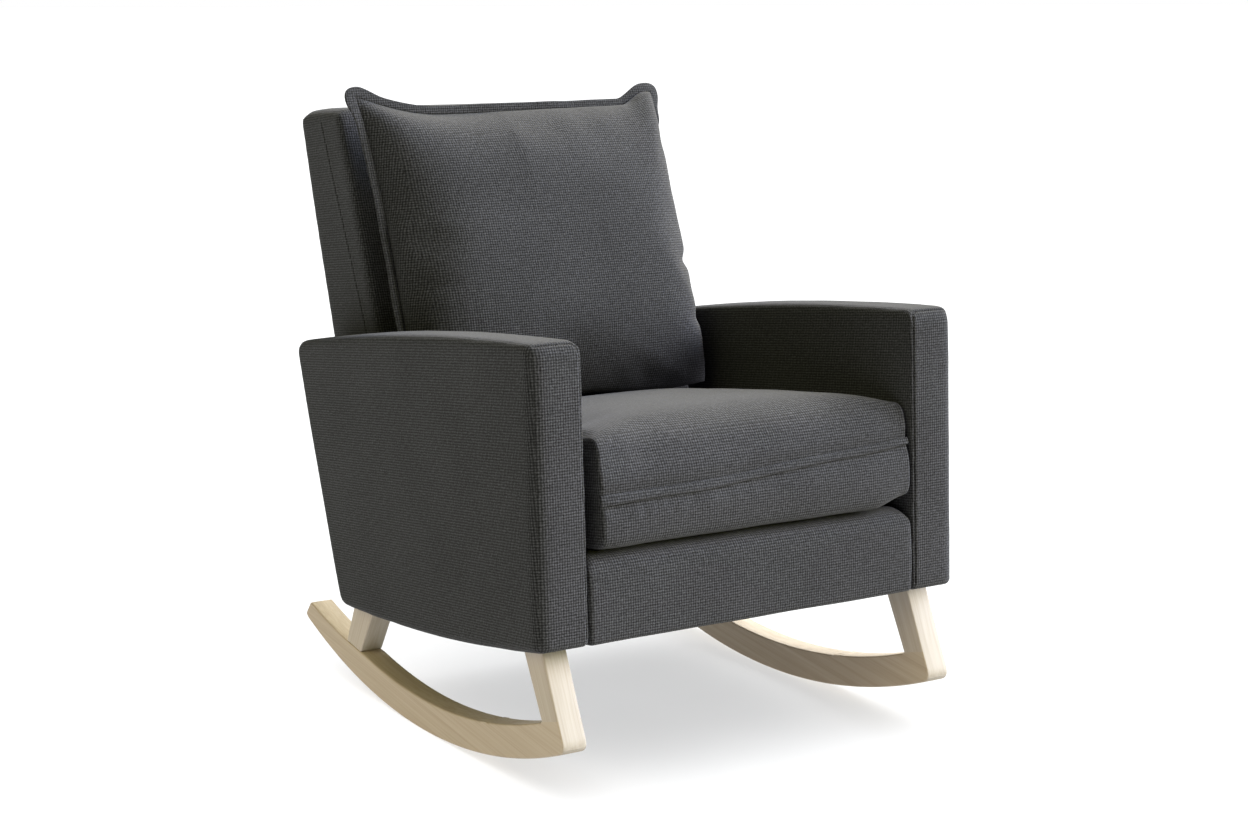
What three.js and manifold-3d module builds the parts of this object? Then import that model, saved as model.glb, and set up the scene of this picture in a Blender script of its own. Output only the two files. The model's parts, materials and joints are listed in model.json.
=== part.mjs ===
// Upholstered rocking chair on two curved wooden runners.
// Millimetres, +Z up. The chair faces -Y. "Left" is -X, as seen by someone facing the chair.
// The body (arms, seat, back) is drawn level in its own frame and hung in a group that leans back
// by the chair's resting recline. Runners and legs are drawn in the floor's frame.
import * as THREE from "three";
import { mergeVertices } from "three/addons/utils/BufferGeometryUtils.js";
import Module from "manifold-3d";

const wasm = await Module();
wasm.setup();

// ---- Driving dimensions ----
const OVERALL_WIDTH = 730; // outside of one arm to outside of the other
const ARM_WIDTH = 80.4;
const RECLINE = THREE.MathUtils.degToRad(7); // the body leans back this much when nobody sits in it
const BASE_HEIGHT = 174; // floor to the body's underside, straight above the floor contact
const CLEAR = 0.4; // gap between pieces that touch on the real chair
const SLIDE_CLEAR = 2.5; // gap round the loose cushions

// Runners and legs
const ROCKER_RADIUS = 1142.8;
const RUNNER_WIDTH = 38.7;
const RUNNER_INSET = 24.9; // from the arm's outer face to the runner's outer face
const RUNNER_DEPTH = 49;
const TAIL_TAPER = 0.078; // depth lost for each millimetre behind the rear leg's front edge
const TAPER_START = 200;
const TAIL_Y = 424;
const RUNNER_FACETS = 18;
const TOE_ROUNDING = 9;
const TOE_REACH = 430; // about how far the toe stands in front of the floor contact
// The raked tail end, as [back from the tip, up from the arc's height there].
const TAIL = {
  underside: [9, -3], tip: [0, 0], nose: [5, 9],
  shoulder: [17, 23], crest: [23, 30], topRun: 32,
};
const RUNNER_TOP_STEPS = 22;
const WOOD_EASE = 3; // eased edges of the wood
const FOOT_JOINT_HEIGHT = 114; // where the front leg's rear face meets the runner
const FOOT_JOINT_RISE = 12; // the joint climbs this much to the leg's front face
const FRONT_LEG = { frontY: -418.6, frontSlope: 0.4586, rearY: -369.4, rearSlope: 0.5394 };
const REAR_LEG = { frontY: 185.5, frontSlope: -0.64, rearY: 246.6, rearSlope: -0.4815 };
const FRONT_LEG_SPAN = [110, 232]; // heights that enclose the leg before it is cut to its neighbours
const REAR_LEG_SPAN = [60, 160];

// Arms, in the body's frame
const ARM_HEIGHT = 426; // underside to the ends of the arched top
const ARM_TOP_ARCH = 11;
const ARM_UNDERSIDE_BOW = 12;
const ARM_FRONT_Y = -412;
const ARM_FRONT_LEAN = -0.0735; // run over rise: the front face leans forward going up
const ARM_REAR_Y = 233;
const ARM_REAR_LEAN = 0.245;
const ARM_EDGE = 8; // soft radius of the padded edges
const ARM_PADDING = 19;
const ARM_REAR_PADDING = 12;

// Seat, in the body's frame
const SEAT_FRAME_BOTTOM = 4;
const SEAT_FRAME_TOP = 106;
const RAIL_THICKNESS = 26;
const SIDE_RAIL_THICKNESS = 24;
const SEAT_FRAME_FRONT_Y = -392;
const SEAT_FRAME_REAR_Y = 90;
const FRONT_RAIL_TOP = 127;
const DECK_THICKNESS = 14;
const CORNER_BLOCK = { leg: 74, height: 60, lift: 24 };
const SPRING = { count: 5, wire: 4, spacing: 104, bends: 9, swing: 21, lean: 7, inset: 14 };
const DUST_COVER = { bottom: -2.4, top: -1 - CLEAR };
const SEAT_CUSHION_TOP = 303;
const SEAT_CUSHION_FRONT_Y = -430;
const SEAT_CUSHION_REAR_Y = 121;

// Back, in the body's frame
const BACK_LEAN = 0.24; // run over rise of the back's front face and of the back cushion
const BACK_FRONT_Y = 93;
const BACK_REAR_Y = 287;
const BACK_REAR_LEAN = 0.188;
const BACK_HEIGHT = 804;
const BACK_EDGE = 10; // soft radius of the padded edges
const BACK_FOAM = 22;
const BACK_SIDE_PADDING = 13;
const BACK_TOP_PADDING = 15;
const BACK_REAR_PADDING = 6;
const BACK_FRONT_DROP = 8; // the back's top edge is this much lower at the front
const BACK_POST = { width: 34, depth: 42, bottom: 2 };
const BACK_RAIL = { thickness: 26, topDepth: 60, lowerBottom: 140, lowerTop: 200 };
const WEB = { lowest: 300, spacing: 150, halfDepth: 35, thickness: 2.2 };
const CUSHION_SEAM_TO_BACK = 68; // from the back cushion's seam plane to the back's front face
const BACK_CUSHION_FRONT = 86; // thickness in front of the seam
const BACK_CUSHION_REAR = 64; // thickness behind the seam
const BACK_CUSHION_TOP = 792;
const BACK_CUSHION_EAR = 24; // the corners stand this much above the middle of the top edge
// Powers of the cushions' superellipsoids, in plan and in profile: smaller is boxier.
const SEAT_CUSHION_POWERS = [0.16, 0.3];
const BACK_CUSHION_POWERS = [0.2, 0.8];

const ARM_OUTER_X = OVERALL_WIDTH / 2;
const ARM_INNER_X = ARM_OUTER_X - ARM_WIDTH;
const RUNNER_OUTER_X = ARM_OUTER_X - RUNNER_INSET;
const RUNNER_INNER_X = RUNNER_OUTER_X - RUNNER_WIDTH;
const BACK_HALF_WIDTH = ARM_INNER_X - 1;

// ---- Materials ----
const finish = (color, roughness, metalness) =>
  new THREE.MeshStandardMaterial({ color, roughness, metalness });
const charcoalFabric = finish(0x47464a, 0.95, 0);
const paleWood = finish(0xc9b89b, 0.6, 0);
const frameWood = finish(0xb58f62, 0.8, 0);
const steel = finish(0x9a9c9f, 0.35, 1);
const springSteel = finish(0x6c6f73, 0.4, 1);
const blackCloth = finish(0x1d1d1f, 0.95, 0);
const webbing = finish(0x8a7a5c, 0.9, 0);

// ---- Outline and solid helpers ----
const lineAt = (y0, slope, z) => y0 + slope * z;
const armFrontY = (z) => lineAt(ARM_FRONT_Y, ARM_FRONT_LEAN, z);
const armRearY = (z) => lineAt(ARM_REAR_Y, ARM_REAR_LEAN, z);
const backFrontY = (z) => lineAt(BACK_FRONT_Y, BACK_LEAN, z);
const backRearY = (z) => lineAt(BACK_REAR_Y, BACK_REAR_LEAN, z);

// A closed outline through corners [u, v, setback]. Rounding starts a setback away from a corner.
// bows[i] lifts the edge after corner i outwards, as a shallow arch of that height.
function outline(corners, bows = []) {
  const shape = new THREE.Shape();
  const at = (i) => new THREE.Vector2(...corners[(i + corners.length) % corners.length]);
  const roundingOf = (i) => corners[(i + corners.length) % corners.length][2] ?? 0;
  const leave = (i, to) => at(i).add(at(to).sub(at(i)).setLength(roundingOf(i)));
  const first = leave(0, -1);
  shape.moveTo(first.x, first.y);
  corners.forEach((corner, i) => {
    const from = leave(i, i + 1);
    const to = leave(i + 1, i);
    if (roundingOf(i) > 0) shape.quadraticCurveTo(corner[0], corner[1], from.x, from.y);
    const along = to.clone().sub(from);
    const lift = new THREE.Vector2(along.y, -along.x).setLength(2 * (bows[i] ?? 0));
    const middle = from.clone().add(to).multiplyScalar(0.5).add(lift);
    if (bows[i]) shape.quadraticCurveTo(middle.x, middle.y, to.x, to.y);
    else shape.lineTo(to.x, to.y);
  });
  return shape;
}

// Extrudes a side outline, drawn as (y, z), from x = low to x = high, with its edges rounded.
function extrudeAcross(shape, low, high, edge = 0, curveSegments = 4, bevelSegments = 2) {
  const geometry = new THREE.ExtrudeGeometry(shape, {
    depth: high - low - 2 * edge,
    curveSegments,
    bevelEnabled: edge > 0,
    bevelSize: edge,
    bevelOffset: -edge,
    bevelThickness: edge,
    bevelSegments,
  });
  geometry.translate(0, 0, low + edge);
  const toSide = new THREE.Matrix4().makeBasis(
    new THREE.Vector3(0, 1, 0),
    new THREE.Vector3(0, 0, 1),
    new THREE.Vector3(1, 0, 0),
  );
  return geometry.applyMatrix4(toSide);
}

function block(x0, x1, y0, y1, z0, z1) {
  const geometry = new THREE.BoxGeometry(x1 - x0, y1 - y0, z1 - z0);
  return geometry.translate((x0 + x1) / 2, (y0 + y1) / 2, (z0 + z1) / 2);
}

// A board whose ends, seen from the side, follow two sloping lines.
function slopedBoard(x0, x1, frontAt, rearAt, z0, z1) {
  const corners = [
    [frontAt(z0), z0],
    [rearAt(z0), z0],
    [rearAt(z1), z1],
    [frontAt(z1), z1],
  ];
  return extrudeAcross(outline(corners), x0, x1);
}

function rod(radius, from, to, sides = 12) {
  const start = new THREE.Vector3(...from);
  const span = new THREE.Vector3(...to).sub(start);
  const geometry = new THREE.CylinderGeometry(radius, radius, span.length(), sides);
  geometry.translate(0, span.length() / 2, 0);
  const alongY = new THREE.Vector3(0, 1, 0);
  geometry.applyQuaternion(new THREE.Quaternion().setFromUnitVectors(alongY, span.normalize()));
  return geometry.translate(start.x, start.y, start.z);
}

// A round-headed screw turned about its own axis: head on the -Y side, point towards +Y.
function screw(headRadius, headHeight, shankRadius, length) {
  const profile = [
    [0, -headHeight],
    [headRadius * 0.7, -headHeight],
    [headRadius, -headHeight * 0.4],
    [headRadius, 0],
    [shankRadius, 0],
    [shankRadius, length - shankRadius * 2],
    [0, length],
  ];
  const points = profile.map(([r, h]) => new THREE.Vector2(r, h));
  return new THREE.LatheGeometry(points, 10);
}

function toSolid(geometry) {
  const bare = geometry.index ? geometry.toNonIndexed() : geometry.clone();
  bare.deleteAttribute("normal");
  bare.deleteAttribute("uv");
  const merged = mergeVertices(bare, 1e-3);
  const mesh = new wasm.Mesh({
    numProp: 3,
    vertProperties: merged.attributes.position.array,
    triVerts: new Uint32Array(merged.index.array),
  });
  return new wasm.Manifold(mesh);
}

function toGeometry(solid) {
  const mesh = solid.getMesh();
  const geometry = new THREE.BufferGeometry();
  geometry.setAttribute("position", new THREE.BufferAttribute(mesh.vertProperties, 3));
  geometry.setIndex(new THREE.BufferAttribute(mesh.triVerts, 1));
  geometry.computeVertexNormals();
  return geometry;
}

function cut(geometry, tools) {
  let solid = toSolid(geometry);
  for (const tool of tools) solid = solid.subtract(toSolid(tool));
  return toGeometry(solid);
}

function join(a, b) {
  return toGeometry(toSolid(a).add(toSolid(b)));
}

const floorGroup = new THREE.Group();
const bodyGroup = new THREE.Group();
bodyGroup.rotation.x = -RECLINE;
bodyGroup.position.z = BASE_HEIGHT;

function add(group, name, geometry, material) {
  const mesh = new THREE.Mesh(geometry, material.clone());
  mesh.name = name;
  group.add(mesh);
  return mesh;
}

// Mirrors a right-hand geometry to the left by turning its faces round as well.
function mirrored(geometry) {
  const copy = geometry.index ? geometry.toNonIndexed() : geometry.clone();
  copy.scale(-1, 1, 1);
  const position = copy.attributes.position;
  for (let i = 0; i < position.count; i += 3) {
    const a = new THREE.Vector3().fromBufferAttribute(position, i);
    const b = new THREE.Vector3().fromBufferAttribute(position, i + 1);
    position.setXYZ(i, b.x, b.y, b.z);
    position.setXYZ(i + 1, a.x, a.y, a.z);
  }
  copy.computeVertexNormals();
  return copy;
}

function addPair(group, name, geometry, material) {
  add(group, `right_${name}`, geometry, material);
  add(group, `left_${name}`, mirrored(geometry), material);
}

// ---- Runners and legs ----
const arcZ = (radius, y) => radius - Math.sqrt(radius ** 2 - y ** 2);

function runnerTopZ(y) {
  const depth = RUNNER_DEPTH - TAIL_TAPER * Math.max(0, y - TAPER_START);
  const angle = Math.asin(y / ROCKER_RADIUS);
  return arcZ(ROCKER_RADIUS, y) + depth / Math.cos(angle);
}

function runnerShape() {
  const shape = new THREE.Shape();
  const toeDrop = arcZ(ROCKER_RADIUS, TOE_REACH) - FOOT_JOINT_HEIGHT;
  const toeY = FRONT_LEG.frontY + FRONT_LEG.frontSlope * toeDrop;
  const toeAngle = Math.asin(toeY / ROCKER_RADIUS);
  const tailAngle = Math.asin(TAIL_Y / ROCKER_RADIUS);
  const facet = (2 * tailAngle) / RUNNER_FACETS;
  const firstAngle = -Math.floor(-toeAngle / facet - 0.5) * facet - facet / 2;
  const bottom = [];
  for (let angle = firstAngle; angle < tailAngle - facet * 0.4; angle += facet) {
    const y = ROCKER_RADIUS * Math.sin(angle);
    bottom.push([y, arcZ(ROCKER_RADIUS, y)]);
  }
  const toeRise = FRONT_LEG.frontSlope * TOE_ROUNDING;
  const toeBackY = toeY + TOE_ROUNDING;
  shape.moveTo(toeY + toeRise, arcZ(ROCKER_RADIUS, toeY) + TOE_ROUNDING);
  shape.quadraticCurveTo(toeY, arcZ(ROCKER_RADIUS, toeY), toeBackY, arcZ(ROCKER_RADIUS, toeBackY));
  for (const [y, z] of bottom) if (y > toeBackY + CLEAR) shape.lineTo(y, z);
  const tailZ = arcZ(ROCKER_RADIUS, TAIL_Y);
  const atTail = ([back, up]) => [TAIL_Y - back, tailZ + up];
  shape.lineTo(...atTail(TAIL.underside));
  shape.quadraticCurveTo(...atTail(TAIL.tip), ...atTail(TAIL.nose));
  shape.lineTo(...atTail(TAIL.shoulder));
  const topRearY = TAIL_Y - TAIL.topRun;
  shape.quadraticCurveTo(...atTail(TAIL.crest), topRearY, runnerTopZ(topRearY));
  const topFrontY = FRONT_LEG.rearY;
  for (let i = 1; i < RUNNER_TOP_STEPS; i += 1) {
    const y = THREE.MathUtils.lerp(topRearY, topFrontY, i / RUNNER_TOP_STEPS);
    shape.lineTo(y, runnerTopZ(y));
  }
  shape.lineTo(topFrontY, FOOT_JOINT_HEIGHT);
  const jointFrontY = FRONT_LEG.frontY + FRONT_LEG.frontSlope * FOOT_JOINT_RISE;
  shape.lineTo(jointFrontY, FOOT_JOINT_HEIGHT + FOOT_JOINT_RISE);
  shape.closePath();
  return shape;
}

// A leg is bounded by two sloping faces. Its top is cut to the arm's underside and its foot to the runner.
function legGeometry(leg, [footZ, topZ]) {
  const frontAt = (z) => lineAt(leg.frontY, leg.frontSlope, z - FOOT_JOINT_HEIGHT);
  const rearAt = (z) => lineAt(leg.rearY, leg.rearSlope, z - FOOT_JOINT_HEIGHT);
  const corners = [
    [frontAt(footZ), footZ],
    [rearAt(footZ), footZ],
    [rearAt(topZ), topZ],
    [frontAt(topZ), topZ],
  ];
  return extrudeAcross(outline(corners), RUNNER_INNER_X, RUNNER_OUTER_X, WOOD_EASE, 4, 1);
}

// ---- Arms ----
const armCorners = [
  [armFrontY(0), -1, 14],
  [ARM_REAR_Y, 0, 27],
  [armRearY(ARM_HEIGHT), ARM_HEIGHT, 22],
  [armFrontY(ARM_HEIGHT), ARM_HEIGHT - 1, 18],
];
const armShape = outline(armCorners, [ARM_UNDERSIDE_BOW, 0, ARM_TOP_ARCH, 0]);
const ARM_CURVE_STEPS = 6;
const CAVITY_BOTTOM = 2.6;
const CAVITY_TOP = ARM_HEIGHT - 12;
const ARM_CAVITY_INNER = ARM_INNER_X + ARM_PADDING;
const ARM_CAVITY_OUTER = ARM_OUTER_X - ARM_PADDING;
const SILL = { bottom: 10.4, top: 34 };
const TOP_RAIL_DEPTH = 24;
const FRONT_POST_DEPTH = 60;
const REAR_POST_DEPTH = 45;
const PLATE = { bottom: 6, top: 10, halfLength: 25, halfWidth: 19 };
const STUD = { radius: 5, bottom: -20 };
const PLATE_SCREW = { head: 5, headHeight: 2.7, shank: 2.7, length: 22, spread: 17 };
const FRONT_MOUNT = { name: "front", plateY: -350, studY: -350 };
const REAR_MOUNT = { name: "rear", plateY: 186, studY: 190 };
const LEG_MOUNTS = [FRONT_MOUNT, REAR_MOUNT];
const STUD_X = RUNNER_OUTER_X - RUNNER_WIDTH / 2;
const TIE_SCREW = { head: 6.5, headHeight: 4, shank: 3, length: 70, z: 22, frontY: -270, rearY: -60 };
const ARM_CENTRE_X = (ARM_CAVITY_INNER + ARM_CAVITY_OUTER) / 2;

const tieHole = (y, radius) => {
  const start = ARM_INNER_X - SIDE_RAIL_THICKNESS - 30;
  return rod(radius, [start, y, TIE_SCREW.z], [start + 110, y, TIE_SCREW.z]);
};
const tieHoles = (radius) => [TIE_SCREW.frontY, TIE_SCREW.rearY].map((y) => tieHole(y, radius));
const plateScrewYs = (mount) => [mount.plateY - PLATE_SCREW.spread, mount.plateY + PLATE_SCREW.spread];
const studHole = (mount, low) =>
  rod(STUD.radius + CLEAR, [STUD_X, mount.studY, low], [STUD_X, mount.studY, 30]);

function armCover() {
  const cavity = slopedBoard(
    ARM_CAVITY_INNER,
    ARM_CAVITY_OUTER,
    (z) => armFrontY(z) + ARM_PADDING,
    (z) => armRearY(z) - ARM_REAR_PADDING,
    CAVITY_BOTTOM,
    CAVITY_TOP,
  );
  const studHoles = LEG_MOUNTS.map((mount) => studHole(mount, -30));
  const solid = extrudeAcross(armShape, ARM_INNER_X, ARM_OUTER_X, ARM_EDGE, ARM_CURVE_STEPS, 3);
  return cut(solid, [cavity, ...studHoles, ...tieHoles(TIE_SCREW.shank + CLEAR)]);
}

function armFrame() {
  const x0 = ARM_CAVITY_INNER + CLEAR;
  const x1 = ARM_CAVITY_OUTER - CLEAR;
  const front = (z) => armFrontY(z) + ARM_PADDING + CLEAR;
  const rear = (z) => armRearY(z) - ARM_REAR_PADDING - CLEAR;
  const postBottom = SILL.top + CLEAR;
  const railBottom = CAVITY_TOP - CLEAR - TOP_RAIL_DEPTH;
  const plateScrewHoles = LEG_MOUNTS.flatMap((mount) =>
    plateScrewYs(mount).map((y) =>
      rod(PLATE_SCREW.shank + CLEAR, [ARM_CENTRE_X, y, 0], [ARM_CENTRE_X, y, 30])),
  );
  const sill = cut(slopedBoard(x0, x1, front, rear, SILL.bottom, SILL.top), [
    ...plateScrewHoles,
    ...tieHoles(TIE_SCREW.shank + CLEAR),
  ]);
  const topRail = slopedBoard(x0, x1, front, rear, railBottom, CAVITY_TOP - CLEAR);
  const frontPostBack = (z) => front(z) + FRONT_POST_DEPTH;
  const rearPostFront = (z) => rear(z) - REAR_POST_DEPTH;
  const frontPost = slopedBoard(x0, x1, front, frontPostBack, postBottom, railBottom - CLEAR);
  const rearPost = slopedBoard(x0, x1, rearPostFront, rear, postBottom, railBottom - CLEAR);
  addPair(bodyGroup, "arm_sill", sill, frameWood);
  addPair(bodyGroup, "arm_top_rail", topRail, frameWood);
  addPair(bodyGroup, "arm_front_post", frontPost, frameWood);
  addPair(bodyGroup, "arm_rear_post", rearPost, frameWood);
}

// A steel plate under the sill, with a welded stud that goes down into the leg, and its two screws.
function legPlate(mount) {
  const { halfLength, halfWidth, bottom, top } = PLATE;
  const x = ARM_CENTRE_X;
  const y = mount.plateY;
  const holes = plateScrewYs(mount).map((holeY) =>
    rod(PLATE_SCREW.shank + CLEAR, [x, holeY, 0], [x, holeY, 20]));
  const flat = block(x - halfWidth, x + halfWidth, y - halfLength, y + halfLength, bottom, top);
  const stud = rod(STUD.radius, [STUD_X, mount.studY, STUD.bottom], [STUD_X, mount.studY, top - 1]);
  addPair(bodyGroup, `${mount.name}_leg_plate`, join(cut(flat, holes), stud), steel);
  plateScrewYs(mount).forEach((screwY, i) => {
    const { head, headHeight, shank, length } = PLATE_SCREW;
    const geometry = screw(head, headHeight, shank, length);
    geometry.rotateX(Math.PI / 2);
    geometry.translate(x, screwY, bottom - CLEAR);
    addPair(bodyGroup, `${mount.name}_leg_screw_${i + 1}`, geometry, steel);
  });
}

function armTieScrews() {
  [TIE_SCREW.frontY, TIE_SCREW.rearY].forEach((y, i) => {
    const { head, headHeight, shank, length } = TIE_SCREW;
    const geometry = screw(head, headHeight, shank, length);
    geometry.rotateZ(-Math.PI / 2);
    geometry.translate(ARM_INNER_X - 2 - SIDE_RAIL_THICKNESS - CLEAR, y, TIE_SCREW.z);
    addPair(bodyGroup, `arm_tie_screw_${i + 1}`, geometry, steel);
  });
}

// ---- Seat ----
function seatFrame() {
  const outer = ARM_INNER_X - 2;
  const inner = outer - SIDE_RAIL_THICKNESS;
  const frontInner = SEAT_FRAME_FRONT_Y + RAIL_THICKNESS;
  const rearInner = SEAT_FRAME_REAR_Y - RAIL_THICKNESS;
  const low = SEAT_FRAME_BOTTOM;
  const high = SEAT_FRAME_TOP;
  const frontRail = block(-outer, outer, SEAT_FRAME_FRONT_Y, frontInner, low, high);
  add(bodyGroup, "seat_front_rail", frontRail, frameWood);
  add(bodyGroup, "seat_rear_rail", block(-outer, outer, rearInner, SEAT_FRAME_REAR_Y, low, high), frameWood);
  const side = block(inner, outer, frontInner + CLEAR, rearInner - CLEAR, low, high);
  addPair(bodyGroup, "seat_side_rail", cut(side, tieHoles(TIE_SCREW.shank + CLEAR)), frameWood);
  const corners = [
    ["front", frontInner + CLEAR, 1],
    ["rear", rearInner - CLEAR, -1],
  ];
  for (const [name, y, towardsMiddle] of corners) {
    const x = inner - CLEAR;
    const points = [
      [x, y],
      [x, y + towardsMiddle * CORNER_BLOCK.leg],
      [x - CORNER_BLOCK.leg, y],
    ];
    const shape = new THREE.Shape(points.map(([u, v]) => new THREE.Vector2(u, v)));
    const geometry = new THREE.ExtrudeGeometry(shape, { depth: CORNER_BLOCK.height, bevelEnabled: false });
    geometry.translate(0, 0, low + CORNER_BLOCK.lift);
    addPair(bodyGroup, `seat_${name}_corner_block`, geometry, frameWood);
  }
}

// Sinuous springs snake from the front rail's top to the rear rail's top.
function seatSprings() {
  const steps = SPRING.bends * 6;
  const y0 = SEAT_FRAME_FRONT_Y + SPRING.inset;
  const y1 = SEAT_FRAME_REAR_Y - SPRING.inset;
  const z = SEAT_FRAME_TOP + SPRING.wire / 2 + CLEAR;
  for (let i = 0; i < SPRING.count; i += 1) {
    const x = (i - (SPRING.count - 1) / 2) * SPRING.spacing;
    const points = [];
    for (let step = 0; step <= steps; step += 1) {
      const t = step / steps;
      const phase = Math.PI * SPRING.bends * t;
      const y = THREE.MathUtils.lerp(y0, y1, t) - SPRING.lean * Math.sin(2 * phase);
      points.push(new THREE.Vector3(x + SPRING.swing * Math.sin(phase), y, z));
    }
    const section = new THREE.Shape();
    section.absarc(0, 0, SPRING.wire / 2, 0, Math.PI * 2);
    const geometry = new THREE.ExtrudeGeometry(section, {
      steps,
      curveSegments: 3,
      extrudePath: new THREE.CatmullRomCurve3(points),
    });
    add(bodyGroup, `seat_spring_${i + 1}`, geometry, springSteel);
  }
}

function seatDeckAndCovers() {
  const deckFront = SEAT_FRAME_FRONT_Y + RAIL_THICKNESS + CLEAR;
  const deckTop = FRONT_RAIL_TOP;
  const deckBottom = deckTop - DECK_THICKNESS;
  const deck = slopedBoard(
    -ARM_INNER_X + 1,
    ARM_INNER_X - 1,
    () => deckFront,
    (z) => backFrontY(z) - CLEAR,
    deckBottom,
    deckTop,
  );
  add(bodyGroup, "seat_deck", deck, blackCloth);
  const half = ARM_INNER_X - 2;
  const coverRear = BACK_REAR_Y - BACK_EDGE;
  const cover = block(-half, half, deckFront, coverRear, DUST_COVER.bottom, DUST_COVER.top);
  add(bodyGroup, "dust_cover", cover, blackCloth);
  // The front rail's padding is a channel round the front, top and underside of the rail.
  const inside = SEAT_FRAME_FRONT_Y - CLEAR;
  const back = SEAT_FRAME_FRONT_Y + RAIL_THICKNESS;
  const channel = [
    [armFrontY(0), -1, 4],
    [back, -1],
    [back, SEAT_FRAME_BOTTOM - CLEAR],
    [inside, SEAT_FRAME_BOTTOM - CLEAR],
    [inside, deckBottom],
    [back, deckBottom],
    [back, deckTop],
    [armFrontY(deckTop), deckTop, 16],
  ];
  const rail = extrudeAcross(outline(channel), -ARM_INNER_X + 0.6, ARM_INNER_X - 0.6);
  add(bodyGroup, "front_rail_upholstery", rail, charcoalFabric);
}

// ---- Back ----
function backUpholstery() {
  const corners = [
    [backFrontY(0), 0, 18],
    [backRearY(0), 0, 18],
    [backRearY(BACK_HEIGHT), BACK_HEIGHT, 22],
    [backFrontY(BACK_HEIGHT - BACK_FRONT_DROP), BACK_HEIGHT - BACK_FRONT_DROP, 22],
  ];
  const slab = extrudeAcross(outline(corners), -BACK_HALF_WIDTH, BACK_HALF_WIDTH, BACK_EDGE, 4, 3);
  const cavity = slopedBoard(
    -BACK_HALF_WIDTH + BACK_SIDE_PADDING,
    BACK_HALF_WIDTH - BACK_SIDE_PADDING,
    (z) => backFrontY(z) + BACK_FOAM,
    (z) => backRearY(z) - BACK_REAR_PADDING,
    -10,
    BACK_HEIGHT - BACK_FRONT_DROP - BACK_TOP_PADDING,
  );
  add(bodyGroup, "back_upholstery", cut(slab, [cavity]), charcoalFabric);
}

function backFrame() {
  const outer = BACK_HALF_WIDTH - BACK_SIDE_PADDING - CLEAR;
  const inner = outer - BACK_POST.width;
  const top = BACK_HEIGHT - BACK_FRONT_DROP - BACK_TOP_PADDING - CLEAR;
  const rear = (z) => backRearY(z) - BACK_REAR_PADDING - CLEAR;
  const front = (z) => rear(z) - BACK_POST.depth;
  addPair(bodyGroup, "back_post", slopedBoard(inner, outer, front, rear, BACK_POST.bottom, top), frameWood);
  const railX = inner - CLEAR;
  const rails = [
    ["back_top_rail", top - BACK_RAIL.topDepth, top],
    ["back_lower_rail", BACK_RAIL.lowerBottom, BACK_RAIL.lowerTop],
  ];
  for (const [name, z0, z1] of rails) {
    const railFront = (z) => rear(z) - BACK_RAIL.thickness;
    add(bodyGroup, name, slopedBoard(-railX, railX, railFront, rear, z0, z1), frameWood);
  }
  const webFront = (z) => front(z) - CLEAR - WEB.thickness;
  const webRear = (z) => front(z) - CLEAR;
  ["lower", "middle", "upper"].forEach((level, i) => {
    const low = WEB.lowest + i * WEB.spacing - WEB.halfDepth;
    const high = low + 2 * WEB.halfDepth;
    add(bodyGroup, `back_web_${level}`, slopedBoard(-outer, outer, webFront, webRear, low, high), webbing);
  });
}

// ---- Loose cushions ----
// A rounded, crowned pad: a superellipsoid of half sizes (a, b), rising c up and d down from its seam.
function crownedPad(a, b, c, d, [planPower, profilePower]) {
  const around = 40;
  const down = 16;
  const geometry = new THREE.SphereGeometry(1, around, down);
  const tiny = 1e-4; // below this a value is rounding noise, which a small power would blow up
  const power = (value, exponent) =>
    Math.abs(value) < tiny ? 0 : Math.sign(value) * Math.abs(value) ** exponent;
  const position = geometry.attributes.position;
  for (let i = 0; i < position.count; i += 1) {
    const height = THREE.MathUtils.clamp(position.getY(i), -1, 1);
    const ring = Math.sqrt(Math.max(0, 1 - height ** 2));
    const turn = Math.atan2(position.getZ(i), position.getX(i));
    const reach = ring < 1e-6 ? 0 : power(ring, profilePower);
    const x = a * reach * power(Math.cos(turn), planPower);
    const y = b * reach * power(Math.sin(turn), planPower);
    position.setXYZ(i, x, -y, power(height, profilePower) * (height > 0 ? c : d));
  }
  return geometry;
}

function seatCushion() {
  const bottom = FRONT_RAIL_TOP + SLIDE_CLEAR;
  const half = (SEAT_CUSHION_TOP - bottom) / 2;
  const depth = (SEAT_CUSHION_REAR_Y - SEAT_CUSHION_FRONT_Y) / 2;
  const pad = crownedPad(ARM_INNER_X - SLIDE_CLEAR, depth, half, half, SEAT_CUSHION_POWERS);
  pad.translate(0, (SEAT_CUSHION_REAR_Y + SEAT_CUSHION_FRONT_Y) / 2, bottom + half);
  add(bodyGroup, "seat_cushion", pad, charcoalFabric);
}

function backCushion() {
  const bottom = SEAT_CUSHION_TOP + SLIDE_CLEAR;
  const lean = Math.atan(BACK_LEAN);
  const halfHeight = (BACK_CUSHION_TOP - bottom) / 2 / Math.cos(lean);
  const halfWidth = ARM_INNER_X - SLIDE_CLEAR;
  const pad = crownedPad(halfWidth, halfHeight, BACK_CUSHION_FRONT, BACK_CUSHION_REAR, BACK_CUSHION_POWERS);
  const position = pad.attributes.position;
  for (let i = 0; i < position.count; i += 1) {
    const sideways = Math.min(1, Math.abs(position.getX(i)) / halfWidth);
    const up = Math.max(0, position.getY(i)) / halfHeight;
    position.setY(i, position.getY(i) + BACK_CUSHION_EAR * sideways ** 6 * up ** 3);
  }
  // The pad's +Z (its front crown) turns to face -Y, then the whole leans back with the back.
  pad.rotateX(Math.PI / 2 - lean);
  const middle = (BACK_CUSHION_TOP + bottom) / 2;
  const seamBehind = CUSHION_SEAM_TO_BACK / Math.cos(lean);
  pad.translate(0, backFrontY(middle) - seamBehind, middle);
  add(bodyGroup, "back_cushion", pad, charcoalFabric);
}

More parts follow.
